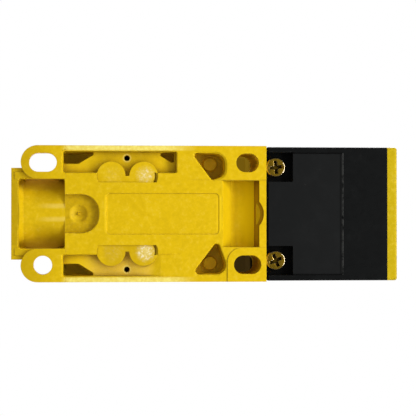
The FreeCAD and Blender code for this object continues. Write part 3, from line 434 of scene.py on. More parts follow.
class Finish:
    """A material in the making: its tree, place on the part, colour so far and main shader."""

    def __init__(self, name):
        self.material = bpy.data.materials.new(name)
        self.material.use_nodes = True
        tree = self.material.node_tree
        self.tree = Sock(tree)
        self.shader = tree.nodes["Principled BSDF"]
        self.place = self.tree.node("TexCoord", out="Object")
        self.x, self.y, self.z = self.place.axes()
        self.colour = None

    def noise(self, size, detail=2.0, roughness=0.5):
        """Clouds with features of about this size in metres, around 0.5."""
        sockets = {"Vector": self.place, "Scale": 1 / size, "Detail": detail, "Roughness": roughness}
        return self.tree.node("TexNoise", {}, sockets)

    def cloudy(self, middle, width, *noise):
        """A value that wanders about its middle as the noise does."""
        return self.noise(*noise) * width + (middle - width / 2)

    def facing(self):
        """The direction that the surface faces."""
        return self.tree.node("NewGeometry", out="Normal")

    def soft_normal(self, radius):
        """The surface direction with every edge eased, as a moulded or worn edge is."""
        return self.tree.node("Bevel", {"samples": EASE_SAMPLES}, {"Radius": radius})

    def edges(self, normal):
        """1 on the eased edges, 0 on the faces."""
        settings = {"operation": "DOT_PRODUCT"}
        along = self.tree.node("VectorMath", settings, {0: normal, 1: self.facing()}, "Value")
        return ((1 - along) * EDGE_GAIN).clamped()

    def openness(self, reach):
        """1 in the open, 0 in a deep recess, by how much of the sky is shut out within reach."""
        settings = {"samples": SKY_SAMPLES, "only_local": True}
        return self.tree.node("AmbientOcclusion", settings, {"Distance": reach}, "AO")

    def hollows(self, reach):
        """1 in a recess, where painted shade is laid, 0 in the open and in places too deep to see into.
        """
        sky = self.openness(reach)
        return sky.falling(*HOLLOW_SKY) * sky.rising(*BLIND_SKY)

    def upward(self):
        """How far a face looks up: 1 for straight up, -1 for straight down at the mounting plane."""
        return self.facing().axes()[2]

    def inside(self, low, high):
        """1 within the box between two corners."""
        held = 1
        for axis, start, end in zip((self.x, self.y, self.z), low, high):
            held = held * (axis > start) * (axis < end)
        return held

    def disc(self, x, y, inner, outer):
        """1 within inner of the upright axes at x and y or -y, 0 beyond outer."""
        off_x = self.x - x
        off_y = abs(self.y) - y
        return ((off_x * off_x + off_y * off_y) ** 0.5).falling(inner, outer)

    def tint(self, mask, tone, cover):
        """Lays a tone over the colour so far, as far as the mask and the cover say."""
        share = mask if cover == 1 else mask * cover
        self.colour = share.mixed(self.colour, linear(tone))

    def bumped(self, height, normal):
        sockets = {"Strength": 1.0, "Distance": RELIEF_SCALE, "Height": height, "Normal": normal}
        return self.tree.node("Bump", {}, sockets)

    def shade(self, **sockets):
        """Sets or links the colour and other sockets of the shader, and gives the material."""
        for key, value in {"base_color": self.colour, **sockets}.items():
            socket = self.shader.inputs[key.replace("_", " ").title().replace("Ior", "IOR")]
            if isinstance(value, Sock):
                self.tree.tree.links.new(value.end, socket)
            else:
                socket.default_value = value
        return self.material


def tint_floors(finish, fine, down):
    """The middle recesses with painted shade, and the side channels, a patch in one of them, the
    scoop's floor and the core pockets with painted light.
    """
    x, z, side = finish.x, finish.z, abs(finish.y)
    plus_y = finish.y > 0
    # Painted shade: the floors of the middle recesses are darkened.
    floors = z.band(*RECESS_HEIGHT) * down * (x > WINDOW_FRONT) * (side < CRADLE_SIDE)
    finish.tint(floors * fine.spread(*RECESS_COVER), *RECESS_SHADE_TINT)
    # Painted light: the side channels' floors are lightened, the one at +Y more.
    channels = z.band(*CHANNEL_HEIGHT) * down * side.band(*CHANNEL_SIDE) * x.falling(*CHANNEL_END)
    finish.tint(channels * plus_y.spread(*CHANNEL_COVER), *CHANNEL_LIGHT_TINT)
    # Painted light: a patch on the +Y channel's floor is lightened, broken up by the fine clouds.
    painted_light_patch = channels * plus_y * x.band(*PATCH_ALONG)
    finish.tint(painted_light_patch * fine.spread(*PATCH_COVER), *PATCH_LIGHT_TINT)
    # Painted light: the front of the scoop's floor is lightened.
    scoop_floor = finish.inside(*SCOOP_FLOOR) * down
    finish.tint(scoop_floor * x.rising(*SCOOP_FLOOR_ALONG), *SCOOP_FLOOR_LIGHT_TINT)
    # Painted light in the deep core pockets.
    finish.tint(finish.inside(*CORES[0]) + finish.inside(*CORES[1]), *CORE_LIGHT_TINT)


def tint_rims(finish, fine, down, edge):
    """Painted shade on the rear face and the scoop's bend, painted highlights on the rims along the
    channels, and edges rubbed pale with a painted highlight.
    """
    x, side = finish.x, abs(finish.y)
    # Painted shade: the rear face, behind the window and to its sides, is darkened.
    rear = x.falling(*REAR_ALONG) * down * (side.rising(*REAR_SIDE) + (x < WINDOW_BACK)).clamped()
    finish.tint(rear, *REAR_SHADE_TINT)
    # Painted highlight along the rims of the channels.
    rim = side.rising(*RIM_SIDE) * (finish.z < LOW_FACES) * down * x.band(*RIM_ALONG)
    finish.tint(rim * fine.spread(*RIM_COVER), *RIM_HIGHLIGHT_TINT)
    bend = finish.inside(*SCOOP_BEND) * x.band(*SCOOP_BEND_ALONG)
    # Pale edges: partly rubbed plastic, partly a painted highlight; the scoop's bend is left out.
    finish.tint(edge * (1 - bend), *EDGE_WEAR_AND_HIGHLIGHT_TINT)
    # Painted shade on the scoop's bend.
    finish.tint(bend, *SCOOP_BEND_SHADE_TINT)


def tint_walls(finish, upward, down):
    """Painted shade in the depths and on the walls of pockets and scoop, and painted light on the ends
    of the panel and in the pale slot.
    """
    x, z, side = finish.x, finish.z, abs(finish.y)
    middle_floors = down * (side < SCOOP_SIDE)
    # Painted shade in the hollows, but for the floors of the middle recesses.
    finish.tint(finish.hollows(HOLLOW_REACH) * (1 - middle_floors), *HOLLOW_SHADE_TINT)
    panel_ends = x.near(*PANEL_REAR_END) + x.near(*PANEL_FRONT_END)
    panel_ends = panel_ends * side.falling(*PANEL_END_SIDE) * (z < PANEL_END_HEIGHT)
    # Painted shade on the walls of the pockets, near their mouths.
    pocket_walls = finish.inside(*POCKETS) * (abs(upward) < UPRIGHT)
    pocket_walls = pocket_walls * z.falling(*POCKET_WALL_HEIGHT) * (1 - panel_ends)
    finish.tint(pocket_walls, *POCKET_WALL_SHADE_TINT)
    # Painted highlight on the two ends of the panel.
    finish.tint(panel_ends, *PANEL_END_HIGHLIGHT_TINT)
    # Painted light on the walls of one front slot.
    finish.tint(finish.inside(*PALE_SLOT), *PALE_SLOT_LIGHT_TINT)
    # Painted shade on the scoop's walls.
    finish.tint(finish.inside(*SCOOP_WALLS) * (1 - down), *SCOOP_WALL_SHADE_TINT)


def tint_tube(finish, upward):
    """The cable tube: painted shade beside it and on its flanks, and two painted highlight streaks
    along its crown. Gives the dull area beside it, which has painted shade.
    """
    x, z, side = finish.x, finish.z, abs(finish.y)
    plus_y = finish.y > 0
    in_window = (x < WINDOW_FRONT) * (x > WINDOW_BACK)
    # Painted shade beside the tube, stronger at -Y.
    beside = in_window * side.rising(*TUBE_SIDE) * upward.falling(*TUBE_SIDE_TILT)
    beside = beside * z.band(*TUBE_SIDE_HEIGHT)
    finish.tint(beside * plus_y.spread(*TUBE_SIDE_COVER), *TUBE_SHADE)
    crown = in_window * (upward < TUBE_TILT) * z.band(*TUBE_HEIGHT)
    # Painted shade on the tube's flanks.
    flank = side.band(*FLANK_SIDE) * x.rising(*FLANK_ALONG) * crown
    finish.tint(flank * x.rising(*FLANK_FADE).spread(*FLANK_COVER), *TUBE_SHADE)
    # Two painted highlight streaks along the crown.
    streaks = abs(finish.y - STREAK_MIDDLE).near(*STREAK_SIDE) * x.rising(*STREAK_ALONG) * crown
    finish.tint(streaks, *STREAK_HIGHLIGHT_TINT)
    return beside


def tint_dimple_and_pins(finish, down):
    """The dimple, with painted light at its rear and painted shade at its front, and the pale rims of
    the pin holes.
    """
    dimple = finish.disc(DIMPLE_X, 0, *DIMPLE_RADII) * down
    front = finish.x.rising(*DIMPLE_TURN)
    finish.tint(dimple * (1 - front), *DIMPLE_LIGHT)
    finish.tint(dimple * front, *DIMPLE_SHADE)
    finish.tint(finish.disc(*PIN_HOLE, *PIN_RIM_RADII) * down, *PIN_RIM_TINT)


def tint_lobes(finish, down):
    """Painted shade on the shelf, and the frosted lobes on it with a painted sheen and painted glints.
    Gives the frost's relief.
    """
    plus_y = finish.y > 0
    on_shelf = (finish.z < LOW_FACES) * (abs(finish.y) > SHELF_EDGE)
    rear_lobes = finish.disc(LOBE_XS[0], LOBE_Y, *REAR_LOBE_RADII)
    front_lobes = finish.disc(LOBE_XS[1], LOBE_Y, *FRONT_LOBE_RADII)
    lobes = front_lobes * plus_y.spread(*FRONT_LOBE_COVER) + rear_lobes * REAR_LOBE_COVER
    lobes = lobes * on_shelf
    # Painted shade on the shelf around the lobes at +Y.
    shelf_shade = finish.disc(sum(LOBE_XS) / 2, LOBE_Y, *SHELF_SHADE_RADII) * plus_y
    finish.tint(shelf_shade * on_shelf * down, *SHELF_SHADE_TINT)
    frost = finish.noise(*FROST)
    # The frost is a real texture; its pale tint is a painted sheen, and the whitest spots are painted
    # glints.
    finish.tint(frost.rising(*FROST_SPAN).spread(*FROST_COVER) * lobes, *FROST_SHEEN_TINT)
    finish.tint(frost.rising(*GLINT_SPAN) * lobes, *GLINT_TINT)
    return frost * lobes * FROST_RELIEF


def moulded_yellow(name, tone, other):
    """Satin yellow thermoplastic: flow clouds, mould grain, and painted light and shade on the areas of
    the underside.
    """
    finish = Finish(name)
    normal = finish.soft_normal(YELLOW_EDGE)
    upward = finish.upward()
    down = upward < FACING_DOWN
    flow = finish.noise(*FLOW).rising(*FLOW_SPAN)
    fine = finish.noise(*FINE).rising(*FINE_SPAN)
    mottle = finish.noise(*MOTTLE)
    finish.colour = flow.mixed(linear(tone), linear(other))
    finish.tint(fine, *FINE_TINT)
    finish.tint(down * mottle.falling(*DARK_SPAN), *DARK_MOTTLE)
    finish.tint(down * mottle.rising(*PALE_SPAN), *PALE_MOTTLE)
    tint_floors(finish, fine, down)
    tint_rims(finish, fine, down, finish.edges(normal))
    tint_walls(finish, upward, down)
    beside_tube = tint_tube(finish, upward)
    tint_dimple_and_pins(finish, down)
    frost_relief = tint_lobes(finish, down)
    dull = beside_tube + finish.inside(*SCOOP)
    rough = finish.noise(*SATIN).spread(*SATIN_ROUGHNESS) + dull * DULL_ROUGHNESS
    height = finish.noise(*GRAIN) * GRAIN_RELIEF + frost_relief
    return finish.shade(roughness=rough, specular_ior_level=YELLOW_GLOSS,
                        normal=finish.bumped(height, normal))


def moulded_black(name, face, roughness, grain_size, grain_depth, gloss, light=None):
    """Black thermoplastic: mould grain, dusty edges, specks, faint rubs, a duller label field with a
    painted highlight and a painted shadow line along its edges, and painted shade in hollows.
    """
    finish = Finish(name)
    x, side = finish.x, abs(finish.y)
    normal = finish.soft_normal(BLACK_EDGE)
    low = finish.z < FOOT_HEIGHT
    along_label = x < LABEL_EDGE
    across_label = side < LABEL_SIDE
    label = along_label * across_label * low
    rub = finish.noise(*RUB).rising(*RUB_SPAN)
    worn = rub * RUB_COVER + label * LABEL_COVER
    finish.colour = worn.mixed(linear(face), linear([c + RUB_LIFT for c in face]))
    finish.tint(finish.edges(normal), [c + DUSTY_LIFT for c in face], DUSTY_COVER)
    scuff = finish.noise(*SCUFF)
    # Painted highlight: a broken pale line along the edge of the label field.
    highlight_line = x.near(LABEL_EDGE, *HIGHLIGHT_LINE) * low * across_label * scuff.rising(*HIGHLIGHT_LINE_SPAN)
    finish.tint(highlight_line, *HIGHLIGHT_LINE_TINT)
    # Painted shadow: a dark line just inside the label field's border.
    long_border = side.near(LABEL_SIDE, *BORDER) * along_label
    short_border = x.near(LABEL_EDGE - BORDER_INSET, *BORDER) * across_label
    finish.tint((long_border + short_border).clamped() * low, *BORDER_SHADOW_TINT)
    finish.tint(scuff.rising(*SPECK_SPAN), *SPECK_TINT)
    # Painted shade in the hollows.
    finish.tint(finish.hollows(BLACK_HOLLOW_REACH), *BLACK_HOLLOW_SHADE_TINT)
    matte_foot = low * (finish.upward() > FOOT_TILT)
    rough = finish.cloudy(roughness, ROUGHNESS_WIDTH, *BLACK_CLOUD)
    rough = rough + label * LABEL_ROUGHNESS + matte_foot * DULL_ROUGHNESS
    grain = finish.noise(grain_size) * (label * grain_depth + grain_depth)
    glow = light(finish) if light else {}
    return finish.shade(roughness=rough, specular_ior_level=gloss,
                        normal=finish.bumped(grain, normal), **glow)


def well_light(finish):
    """A faint glow of its own on the lid's inside over the front slots, which else look black."""
    finish.material.cycles.emission_sampling = "NONE"
    glow = finish.inside(*BRIGHT_WELL).mixed(BLACK, linear(BRIGHT_WELL_TONE))
    glow = finish.inside(*DIM_WELL).mixed(glow, linear(DIM_WELL_TONE))
    return {"emission_color": glow, "emission_strength": 1.0}


def plated_metal(name, tone, roughness, worn, metallic=1.0):
    """Plated metal: cloudy brightness, edges and slopes rubbed pale, painted shade in recesses, and
    fine turning marks.
    """
    finish = Finish(name)
    normal = finish.soft_normal(METAL_EDGE)
    cloud = finish.noise(*PLATING).rising(*PLATING_SPAN)
    red, green, blue, _ = linear(tone)
    dark = (red * PLATING_DARK, green * PLATING_DARK, blue * PLATING_DARK, 1)
    finish.colour = cloud.mixed(dark, linear(tone))
    slope = 1 - abs(finish.upward())
    rubbed = slope.band(*RUBBED_SLOPE)
    pale = rubbed * RUBBED_COVER + finish.edges(normal) * METAL_EDGE_COVER
    finish.tint(pale.clamped(), worn, 1)
    # Painted shade in the recesses, such as the drives.
    finish.tint(finish.openness(METAL_RECESS_REACH).falling(*HOLLOW_SKY), *METAL_RECESS_SHADE_TINT)
    shine = 1.0 if metallic == 1.0 else slope.rising(*SHINE_SLOPE).spread(metallic, 1)
    rough = finish.cloudy(roughness, ROUGHNESS_WIDTH, *METAL_CLOUD) - rubbed * RUBBED_SMOOTHER
    marks = finish.noise(*TURNING_MARKS) * TURNING_RELIEF
    return finish.shade(metallic=shine, roughness=rough, normal=finish.bumped(marks, normal))


def plain_plastic(name, tone, other, cloud_size, roughness):
    """Plain plastic or resin with clouds of a second tone and a light grain."""
    finish = Finish(name)
    normal = finish.soft_normal(PLAIN_EDGE)
    cloud = finish.noise(cloud_size, detail=3.0).rising(*PLAIN_SPAN)
    finish.colour = cloud.mixed(linear(tone), linear(other))
    rough = finish.cloudy(roughness, PLAIN_ROUGHNESS_WIDTH, *PLAIN_CLOUD)
    grain = finish.noise(*PLAIN_GRAIN) * PLAIN_RELIEF
    return finish.shade(roughness=rough, normal=finish.bumped(grain, normal))


def wound_copper(name):
    """Enamelled copper wire: turns side by side along the coil's axis, with painted shade in the
    grooves and painted light on the crests.
    """
    finish = Finish(name)
    ridge = finish.tree.math("SINE", finish.x * (2 * math.pi / WIRE_PITCH)).spread(0.5, 1)
    # Painted shade in the grooves between the turns and painted light on their crests.
    finish.colour = ridge.mixed(*map(linear, WIRE_SHADED_AND_LIT_TONES))
    rough = finish.noise(WIRE_CLOUD).spread(*WIRE_ROUGHNESS)
    relief = finish.bumped(ridge * WIRE_RELIEF, finish.soft_normal(WIRE_EDGE))
    return finish.shade(metallic=WIRE_METALLIC, roughness=rough, normal=relief)


def circuit_laminate(name):
    """Green solder mask over copper tracks."""
    finish = Finish(name)
    lanes = finish.tree.math("FRACT", finish.y * (1 / LANE_PITCH))
    unbroken = finish.noise(*LANE_BREAKS).rising(*LANE_BREAK_SPAN)
    track = (lanes > LANE_BEGIN) * (lanes < LANE_END) * unbroken
    finish.colour = track.mixed(*map(linear, BOARD_TONES))
    rough = finish.noise(BOARD_CLOUD).spread(*BOARD_ROUGHNESS)
    relief = finish.bumped(track * BOARD_RELIEF, finish.soft_normal(BOARD_EDGE))
    return finish.shade(roughness=rough, normal=relief)


def clear_guide(name):
    """Clear light guide with a faint milky cloud."""
    finish = Finish(name)
    milk = finish.noise(*GUIDE_MILK).rising(*PLAIN_SPAN)
    finish.colour = milk.mixed(*map(linear, GUIDE_TONES))
    rough = finish.noise(GUIDE_CLOUD).spread(*GUIDE_ROUGHNESS)
    return finish.shade(roughness=rough, transmission_weight=GUIDE_CLEARNESS,
                        normal=finish.soft_normal(GUIDE_EDGE))


def make_finishes():
    """The finish of each material slot."""
    return {
        "yellow_housing": moulded_yellow("yellow_housing_moulded", tone=(223, 184, 4),
                                         other=(230, 191, 5)),
        "yellow_face": moulded_yellow("yellow_face_moulded", tone=(189, 163, 2),
                                      other=(195, 168, 3)),
        "black_head": moulded_black("black_head_moulded", face=(17, 18, 18), roughness=0.28,
                                    grain_size=0.30 * MM, grain_depth=0.006, gloss=0.2),
        "black_cover": moulded_black("black_cover_moulded", face=(22, 22, 22), roughness=0.40,
                                     grain_size=0.35 * MM, grain_depth=0.02, gloss=0.3,
                                     light=well_light),
        "dark_insulator": moulded_black("dark_insulator_moulded", face=(38, 38, 41), roughness=0.5,
                                        grain_size=0.25 * MM, grain_depth=0.02, gloss=0.4),
        "seal_rubber": plain_plastic("seal_rubber_matte", tone=(24, 24, 24), other=(34, 33, 32),
                                     cloud_size=1.5 * MM, roughness=0.8),
        "chip_epoxy": plain_plastic("chip_epoxy_matte", tone=(20, 20, 21), other=(30, 30, 31),
                                    cloud_size=0.5 * MM, roughness=0.6),
        "potting": plain_plastic("potting_resin_cast", tone=(52, 50, 47), other=(62, 59, 55),
                                 cloud_size=4 * MM, roughness=0.4),
        "white_nylon": plain_plastic("white_nylon_natural", tone=(222, 218, 204),
                                     other=(232, 229, 218), cloud_size=2 * MM, roughness=0.5),
        "led_lens": plain_plastic("led_lens_diffused", tone=(236, 206, 110), other=(246, 224, 140),
                                  cloud_size=0.8 * MM, roughness=0.3),
        "ferrite": plain_plastic("ferrite_sintered", tone=(44, 44, 46), other=(58, 58, 60),
                                 cloud_size=0.4 * MM, roughness=0.7),
        "zinc_screw": plated_metal("yellow_zinc_plating", tone=(198, 160, 42), roughness=0.22,
                                   worn=(250, 246, 236), metallic=0.8),
        "plated_steel": plated_metal("nickel_plating", tone=(188, 186, 178), roughness=0.30,
                                     worn=(232, 230, 224)),
        "insert_brass": plated_metal("turned_brass", tone=(206, 170, 92), roughness=0.28,
                                     worn=(238, 214, 150)),
        "contact_metal": plated_metal("tinned_brass", tone=(204, 192, 160), roughness=0.30,
                                      worn=(232, 224, 204)),
        "capacitor_can": plated_metal("capacitor_aluminium", tone=(196, 198, 202), roughness=0.34,
                                      worn=(230, 232, 236)),
        "copper_wire": wound_copper("enamelled_copper"),
        "board_laminate": circuit_laminate("green_laminate"),
        "clear_plastic": clear_guide("clear_guide"),
    }


def new_piece(name, mesh, slot, body, finishes):
    """A piece with the finish of its slot, which rides on a CAD body."""
    piece = bpy.data.objects.new(name, mesh)
    bpy.context.scene.collection.objects.link(piece)
    mesh.materials.clear()
    mesh.materials.append(finishes[slot])
    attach(piece, body)
    return piece


def circle(radius, height):
    """The points of an upright ring, or the one point of a tip."""
    if radius == 0:
        return [(0, 0, height)]
    turns = [2 * math.pi * i / ROUND_STEPS for i in range(ROUND_STEPS)]
    return [(radius * math.cos(t), radius * math.sin(t), height) for t in turns]


def bridged(rings, looped=False):
    """A closed mesh over rings of points: from tip to tip, or from the last to the first if looped."""
    shape = bmesh.new()
    made = [[shape.verts.new(point) for point in ring] for ring in rings]
    following = made[1:] + made[:1] if looped else made[1:]
    for first, second in zip(made, following):
        steps = max(len(first), len(second))
        for i in range(steps):
            j = (i + 1) % steps
            corners = [first[i % len(first)], first[j % len(first)],
                       second[j % len(second)], second[i % len(second)]]
            shape.faces.new(list(dict.fromkeys(corners)))
    bmesh.ops.recalc_face_normals(shape, faces=shape.faces)
    return shape


def thread_rings(radius, length):
    """Rings down a threaded shank: the radius follows a ridge that climbs one pitch a turn."""
    depth = THREAD_DEPTH * SCREW_PITCH
    rows = int(length / SCREW_PITCH * THREAD_STEPS)
    run_out = THREAD_STEPS / 2
    rings = []
    for row in range(rows + 1):
        z = -length * row / rows
        fade = min(1, row / run_out, (rows - row) / run_out)
        ring = []
        for i in range(ROUND_STEPS):
            phase = (z / SCREW_PITCH - i / ROUND_STEPS) % 1
            ridge = 1 - abs(2 * phase - 1)
            r = radius - depth * (1 - ridge * fade)
            turn = 2 * math.pi * i / ROUND_STEPS
            ring.append((r * math.cos(turn), r * math.sin(turn), z))
        rings.append(ring)
    return rings + [circle(0, -length)]


def to_mesh(shape, name, smooth_angle=SMOOTH_ANGLE):
    """The mesh of a bmesh, which is used up: smooth, but for edges sharper than the angle."""
    mesh = bpy.data.meshes.new(name)
    for face in shape.faces:
        face.smooth = True
    for edge in shape.edges:
        edge.smooth = len(edge.link_faces) != 2 or edge.calc_face_angle() < smooth_angle
    shape.to_mesh(mesh)
    shape.free()
    return mesh


def cut(shape, cutter):
    """shape with cutter taken away, both as bmesh; they are used up."""
    scene = bpy.context.scene
    holders = []
    for source in (shape, cutter):
        mesh = bpy.data.meshes.new("cutting")
        source.to_mesh(mesh)
        source.free()
        holder = bpy.data.objects.new("cutting", mesh)
        scene.collection.objects.link(holder)
        holders.append(holder)
    body, tool = holders
    step = body.modifiers.new("cut", "BOOLEAN")
    step.object = tool
    step.solver = "EXACT"
    bpy.context.view_layer.update()
    seen = body.evaluated_get(bpy.context.evaluated_depsgraph_get())
    made = bmesh.new()
    made.from_mesh(seen.to_mesh())
    for holder in holders:
        mesh = holder.data
        bpy.data.objects.remove(holder)
        bpy.data.meshes.remove(mesh)
    return made


def pan_profile(radius, height):
    """The half outline of a pan head, from the crown down to the rim of its seat."""
    crown = [(0, height)]
    for share in (*CROWN_RINGS, CROWN_FLAT):
        crown.append((share * radius, height * (1 - CROWN_FALL * share * share)))
    top = crown[-1][1]
    for degrees in CORNER_DEGREES:
        turn = math.radians(degrees)
        out = CROWN_FLAT + (1 - CROWN_FLAT) * math.sin(turn)
        crown.append((out * radius, top - CROWN_CORNER * height * (1 - math.cos(turn))))
    return crown + [(radius, RIM_HEIGHT * height), (SEAT_RADIUS * radius, 0)]


def cross_cutter(radius, height):
    """A tapered cross over the crown, for a cross recess."""
    shape = bmesh.new()
    rings = []
    flare = CROSS_FLARE * radius
    for grown, taper, z in ((flare, 1.0, CUTTER_TOP * height), (flare, 1.0, height),
                            (0.0, 1.0, height - FLARE_DEPTH * flare),
                            (0.0, CROSS_TAPER, (1 - CROSS_DEPTH) * height)):
        arm = CROSS_REACH * radius * taper + grown
        half = CROSS_WIDTH * radius * taper + grown
        quarter = [(arm, -half), (arm, half), (half, half)]
        ring = []
        for cosine, sine in ((1, 0), (0, 1), (-1, 0), (0, -1)):
            turned = [(cosine * x - sine * y, sine * x + cosine * y, z) for x, y in quarter]
            ring += [shape.verts.new(corner) for corner in turned]
        rings.append(ring)
    for upper, lower in zip(rings, rings[1:]):
        for i in range(len(upper)):
            j = (i + 1) % len(upper)
            shape.faces.new((upper[i], upper[j], lower[j], lower[i]))
    shape.faces.new(rings[0])
    shape.faces.new(rings[-1][::-1])
    bmesh.ops.recalc_face_normals(shape, faces=shape.faces)
    return shape


def slot_cutter(radius, height):
    """One blade across the crown, for a slotted head."""
    shape = bmesh.new()
    blade = bmesh.ops.create_cube(shape, size=1.0)["verts"]
    for v in blade:
        z = CUTTER_TOP * height if v.co.z > 0 else height - SLOT_DEPTH * height
        v.co = Vector((v.co.x * SLOT_LENGTH * radius, v.co.y * 2 * SLOT_WIDTH * radius, z))
    return shape


def screw_piece(name, node, body, kind, number, radius, x, y, finishes):
    """A screw with its drive and thread in place of a plain one; number counts its kind from 0."""
    low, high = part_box(node)
    seat = high.z - kind.head if kind.faces_up else low.z + kind.head
    length = seat - low.z if kind.faces_up else high.z - seat
    rings = [circle(r, z) for r, z in pan_profile(radius, kind.head)]
    recess = cross_cutter if kind.drive == "cross" else slot_cutter
    shape = cut(bridged(rings + thread_rings(kind.shank, length)), recess(radius, kind.head))
    turned = Matrix.Rotation(kind.first_turn + kind.next_turn * number, 4, "Z")
    flipped = Matrix.Identity(4) if kind.faces_up else Matrix.Rotation(math.pi, 4, "X")
    shape.transform(Matrix.Translation((x, y, seat)) @ flipped @ turned)
    piece = new_piece(name, to_mesh(shape, name), kind.slot, body, finishes)
    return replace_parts(piece, node)


def make_screws(finishes):
    """The four kinds of screw, each at the place of its plain solid."""
    low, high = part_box("head_screws")
    radius = (high.x - low.x) / 2
    for i, side in enumerate((-1, 1)):
        screw_piece(f"head_screw_{i + 1}", "head_screws", "base", HEAD_SCREW, i, radius,
                    (low.x + high.x) / 2, side * (high.y - radius), finishes)
    low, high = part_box("cover_screws")
    radius = COVER_SCREW_RADIUS
    xs = (low.x + radius, high.x - radius)
    ys = (low.y + radius, high.y - radius)
    for i, (x, y) in enumerate((x, y) for x in xs for y in ys):
        screw_piece(f"cover_screw_{i + 1}", "cover_screws", "cover", COVER_SCREW, i, radius,
                    x, y, finishes)
    low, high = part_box("carrier_screws")
    radius = (high.x - low.x) / 2
    for i, side in enumerate((-1, 1)):
        screw_piece(f"carrier_screw_{i + 1}", "carrier_screws", "base", CARRIER_SCREW, i, radius,
                    (low.x + high.x) / 2, side * (high.y - radius), finishes)
    for i in range(TERMINALS):
        node = f"terminal_screw_{i + 1}"
        low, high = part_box(node)
        screw_piece(f"slotted_screw_{i + 1}", node, node, TERMINAL_SCREW, i, (high.x - low.x) / 2,
                    (low.x + high.x) / 2, (low.y + high.y) / 2, finishes)


def make_entry_thread(record, finishes):
    """The M20 thread inside the cable entry, as one closed ring with a helical ridge."""
    mount = next(m for m in record["mounts"] if m["name"] == "cable_entry")
    radius = mount["dims"]["r_mm"] * MM
    outer = radius + ENTRY_WALL_BITE
    axis = mount["pos_m"][2]
    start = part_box("base_housing")[0].x + ENTRY_THREAD_START
    rows = int(ENTRY_THREAD_LENGTH / ENTRY_PITCH * THREAD_STEPS)
    turns = [2 * math.pi * i / ENTRY_STEPS for i in range(ENTRY_STEPS)]
    rings = []
    for row in range(rows + 1):
        along = ENTRY_THREAD_LENGTH * row / rows
        fade = min(1, row / THREAD_STEPS, (rows - row) / THREAD_STEPS)
        ring = []
        for i, t in enumerate(turns):
            phase = (along / ENTRY_PITCH - i / ENTRY_STEPS) % 1
            ridge = min(1, max(0, ENTRY_RIDGE_TOP - ENTRY_RIDGE_SLOPE * abs(2 * phase - 1)))
            r = radius - ENTRY_RIDGE * ridge * fade
            ring.append((start + along, r * math.cos(t), axis + r * math.sin(t)))
        rings.append(ring)
    for x in (start + ENTRY_THREAD_LENGTH, start):
        rings.append([(x, outer * math.cos(t), axis + outer * math.sin(t)) for t in turns])
    mesh = to_mesh(bridged(rings, looped=True), "entry_thread", ENTRY_SMOOTH_ANGLE)
    return new_piece("entry_thread", mesh, "yellow_housing", "base", finishes)


def make_camera():
    """The camera, with the part's +X to the right and +Y down in the picture."""
    camera = bpy.data.objects.new("camera", bpy.data.cameras.new("camera"))
    bpy.context.scene.collection.objects.link(camera)
    camera.data.sensor_width = SENSOR_WIDTH
    camera.data.lens = FOCAL_PIXELS / IMAGE_SIZE * SENSOR_WIDTH
    camera.data.clip_start = CAMERA_NEAR
    camera.data.clip_end = CAMERA_FAR
    forward = (CAMERA_AIM - CAMERA_PLACE).normalized()
    right = Vector((0, 1, 0)).cross(forward).normalized()
    down = forward.cross(right)
    turn = Matrix((right, -down, -forward)).transposed().to_4x4()
    camera.matrix_world = Matrix.Translation(CAMERA_PLACE) @ turn
    bpy.context.scene.camera = camera


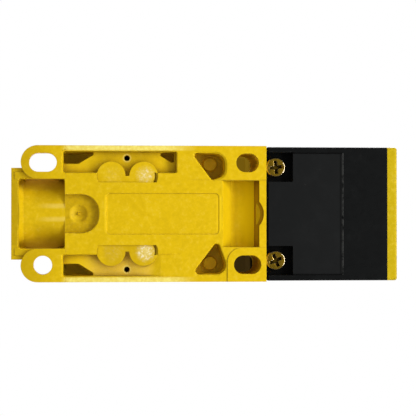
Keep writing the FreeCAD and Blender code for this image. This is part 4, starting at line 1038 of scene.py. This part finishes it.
def make_floor():
    """A pale floor that is seen, and takes shadows, only from above."""
    mesh = bpy.data.meshes.new("floor")
    half = FLOOR_SIZE / 2
    corners = [(-half, -half), (half, -half), (half, half), (-half, half)]
    mesh.from_pydata([(x, y, -FLOOR_DROP) for x, y in corners], [], [(0, 1, 2, 3)])
    floor = bpy.data.objects.new("floor", mesh)
    bpy.context.scene.collection.objects.link(floor)
    floor.visible_diffuse = False
    floor.visible_glossy = False
    floor.visible_transmission = False
    floor.visible_shadow = False
    material = bpy.data.materials.new("pale_floor")
    material.use_nodes = True
    tree = Sock(material.node_tree)
    below = tree.node("NewGeometry", out="Backfacing")
    cloud = tree.node("TexNoise", {}, {"Scale": FLOOR_CLOUDS, "Detail": 2.0})
    near = tree.node("BsdfDiffuse", {}, {"Color": cloud.mixed(*FLOOR_TONES)})
    white = tree.node("Emission", {}, {"Color": WHITE, "Strength": 1.0})
    place = tree.node("TexCoord", out="Object")
    away = tree.node("VectorMath", {"operation": "LENGTH"}, {0: place}, "Value")
    pale = tree.node("MixShader", {}, {0: away.rising(*FLOOR_FADE), 1: near, 2: white})
    clear = tree.node("BsdfTransparent")
    seen = tree.node("MixShader", {}, {0: below, 1: pale, 2: clear})
    output = material.node_tree.nodes["Material Output"]
    material.node_tree.links.new(seen.end, output.inputs["Surface"])
    mesh.materials.append(material)


def make_world():
    """White to the camera, white above and dark below to mirrors and glass, and soft light else."""
    world = bpy.data.worlds.new("studio")
    world.use_nodes = True
    bpy.context.scene.world = world
    tree = Sock(world.node_tree)
    rays = tree.node("LightPath").end.node.outputs
    camera, glossy, through = [Sock(world.node_tree, rays[name]) for name in
                               ("Is Camera Ray", "Is Glossy Ray", "Is Transmission Ray")]
    height = tree.node("TexCoord").axes()[2]
    mirror = (glossy + through).clamped()
    shown = height.rising(*BRIGHT_SKY).spread(DARK_SIDE, 1)
    around = mirror * shown + (1 - mirror) * AMBIENT
    strength = camera + (1 - camera) * around
    shader = world.node_tree.nodes["Background"]
    shader.inputs["Color"].default_value = WHITE
    world.node_tree.links.new(strength.end, shader.inputs["Strength"])


def make_lamp(name, lamp):
    light = bpy.data.lights.new(name, "AREA")
    light.shape = "RECTANGLE"
    light.size = lamp.width
    light.size_y = lamp.height
    light.energy = lamp.power
    holder = bpy.data.objects.new(name, light)
    bpy.context.scene.collection.objects.link(holder)
    holder.location = lamp.place
    holder.rotation_mode = "QUATERNION"
    holder.rotation_quaternion = (LAMP_AIM - Vector(lamp.place)).to_track_quat("-Z", "Y")
    holder.visible_camera = False
    return holder


def make_lamps():
    """Below, a key that isn't mirrored and a strip that is only mirrored; above, three plain lamps."""
    holders = {name: make_lamp(name, lamp) for name, lamp in LAMPS.items()}
    holders["key_below"].visible_glossy = False
    holders["glint_below"].visible_diffuse = False


for old in list(bpy.data.objects):
    bpy.data.objects.remove(old)

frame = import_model()
bpy.context.scene.view_settings.view_transform = "Standard"

all_finishes = make_finishes()
slot_of = {part["node"]: part["material_slot"] for part in frame["record"]["subparts"]}
for node_name, solid in frame["nodes"].items():
    solid.material_slots[0].material = all_finishes[slot_of[node_name]]

make_camera()
make_screws(all_finishes)
make_entry_thread(frame["record"], all_finishes)
make_floor()
make_world()
make_lamps()
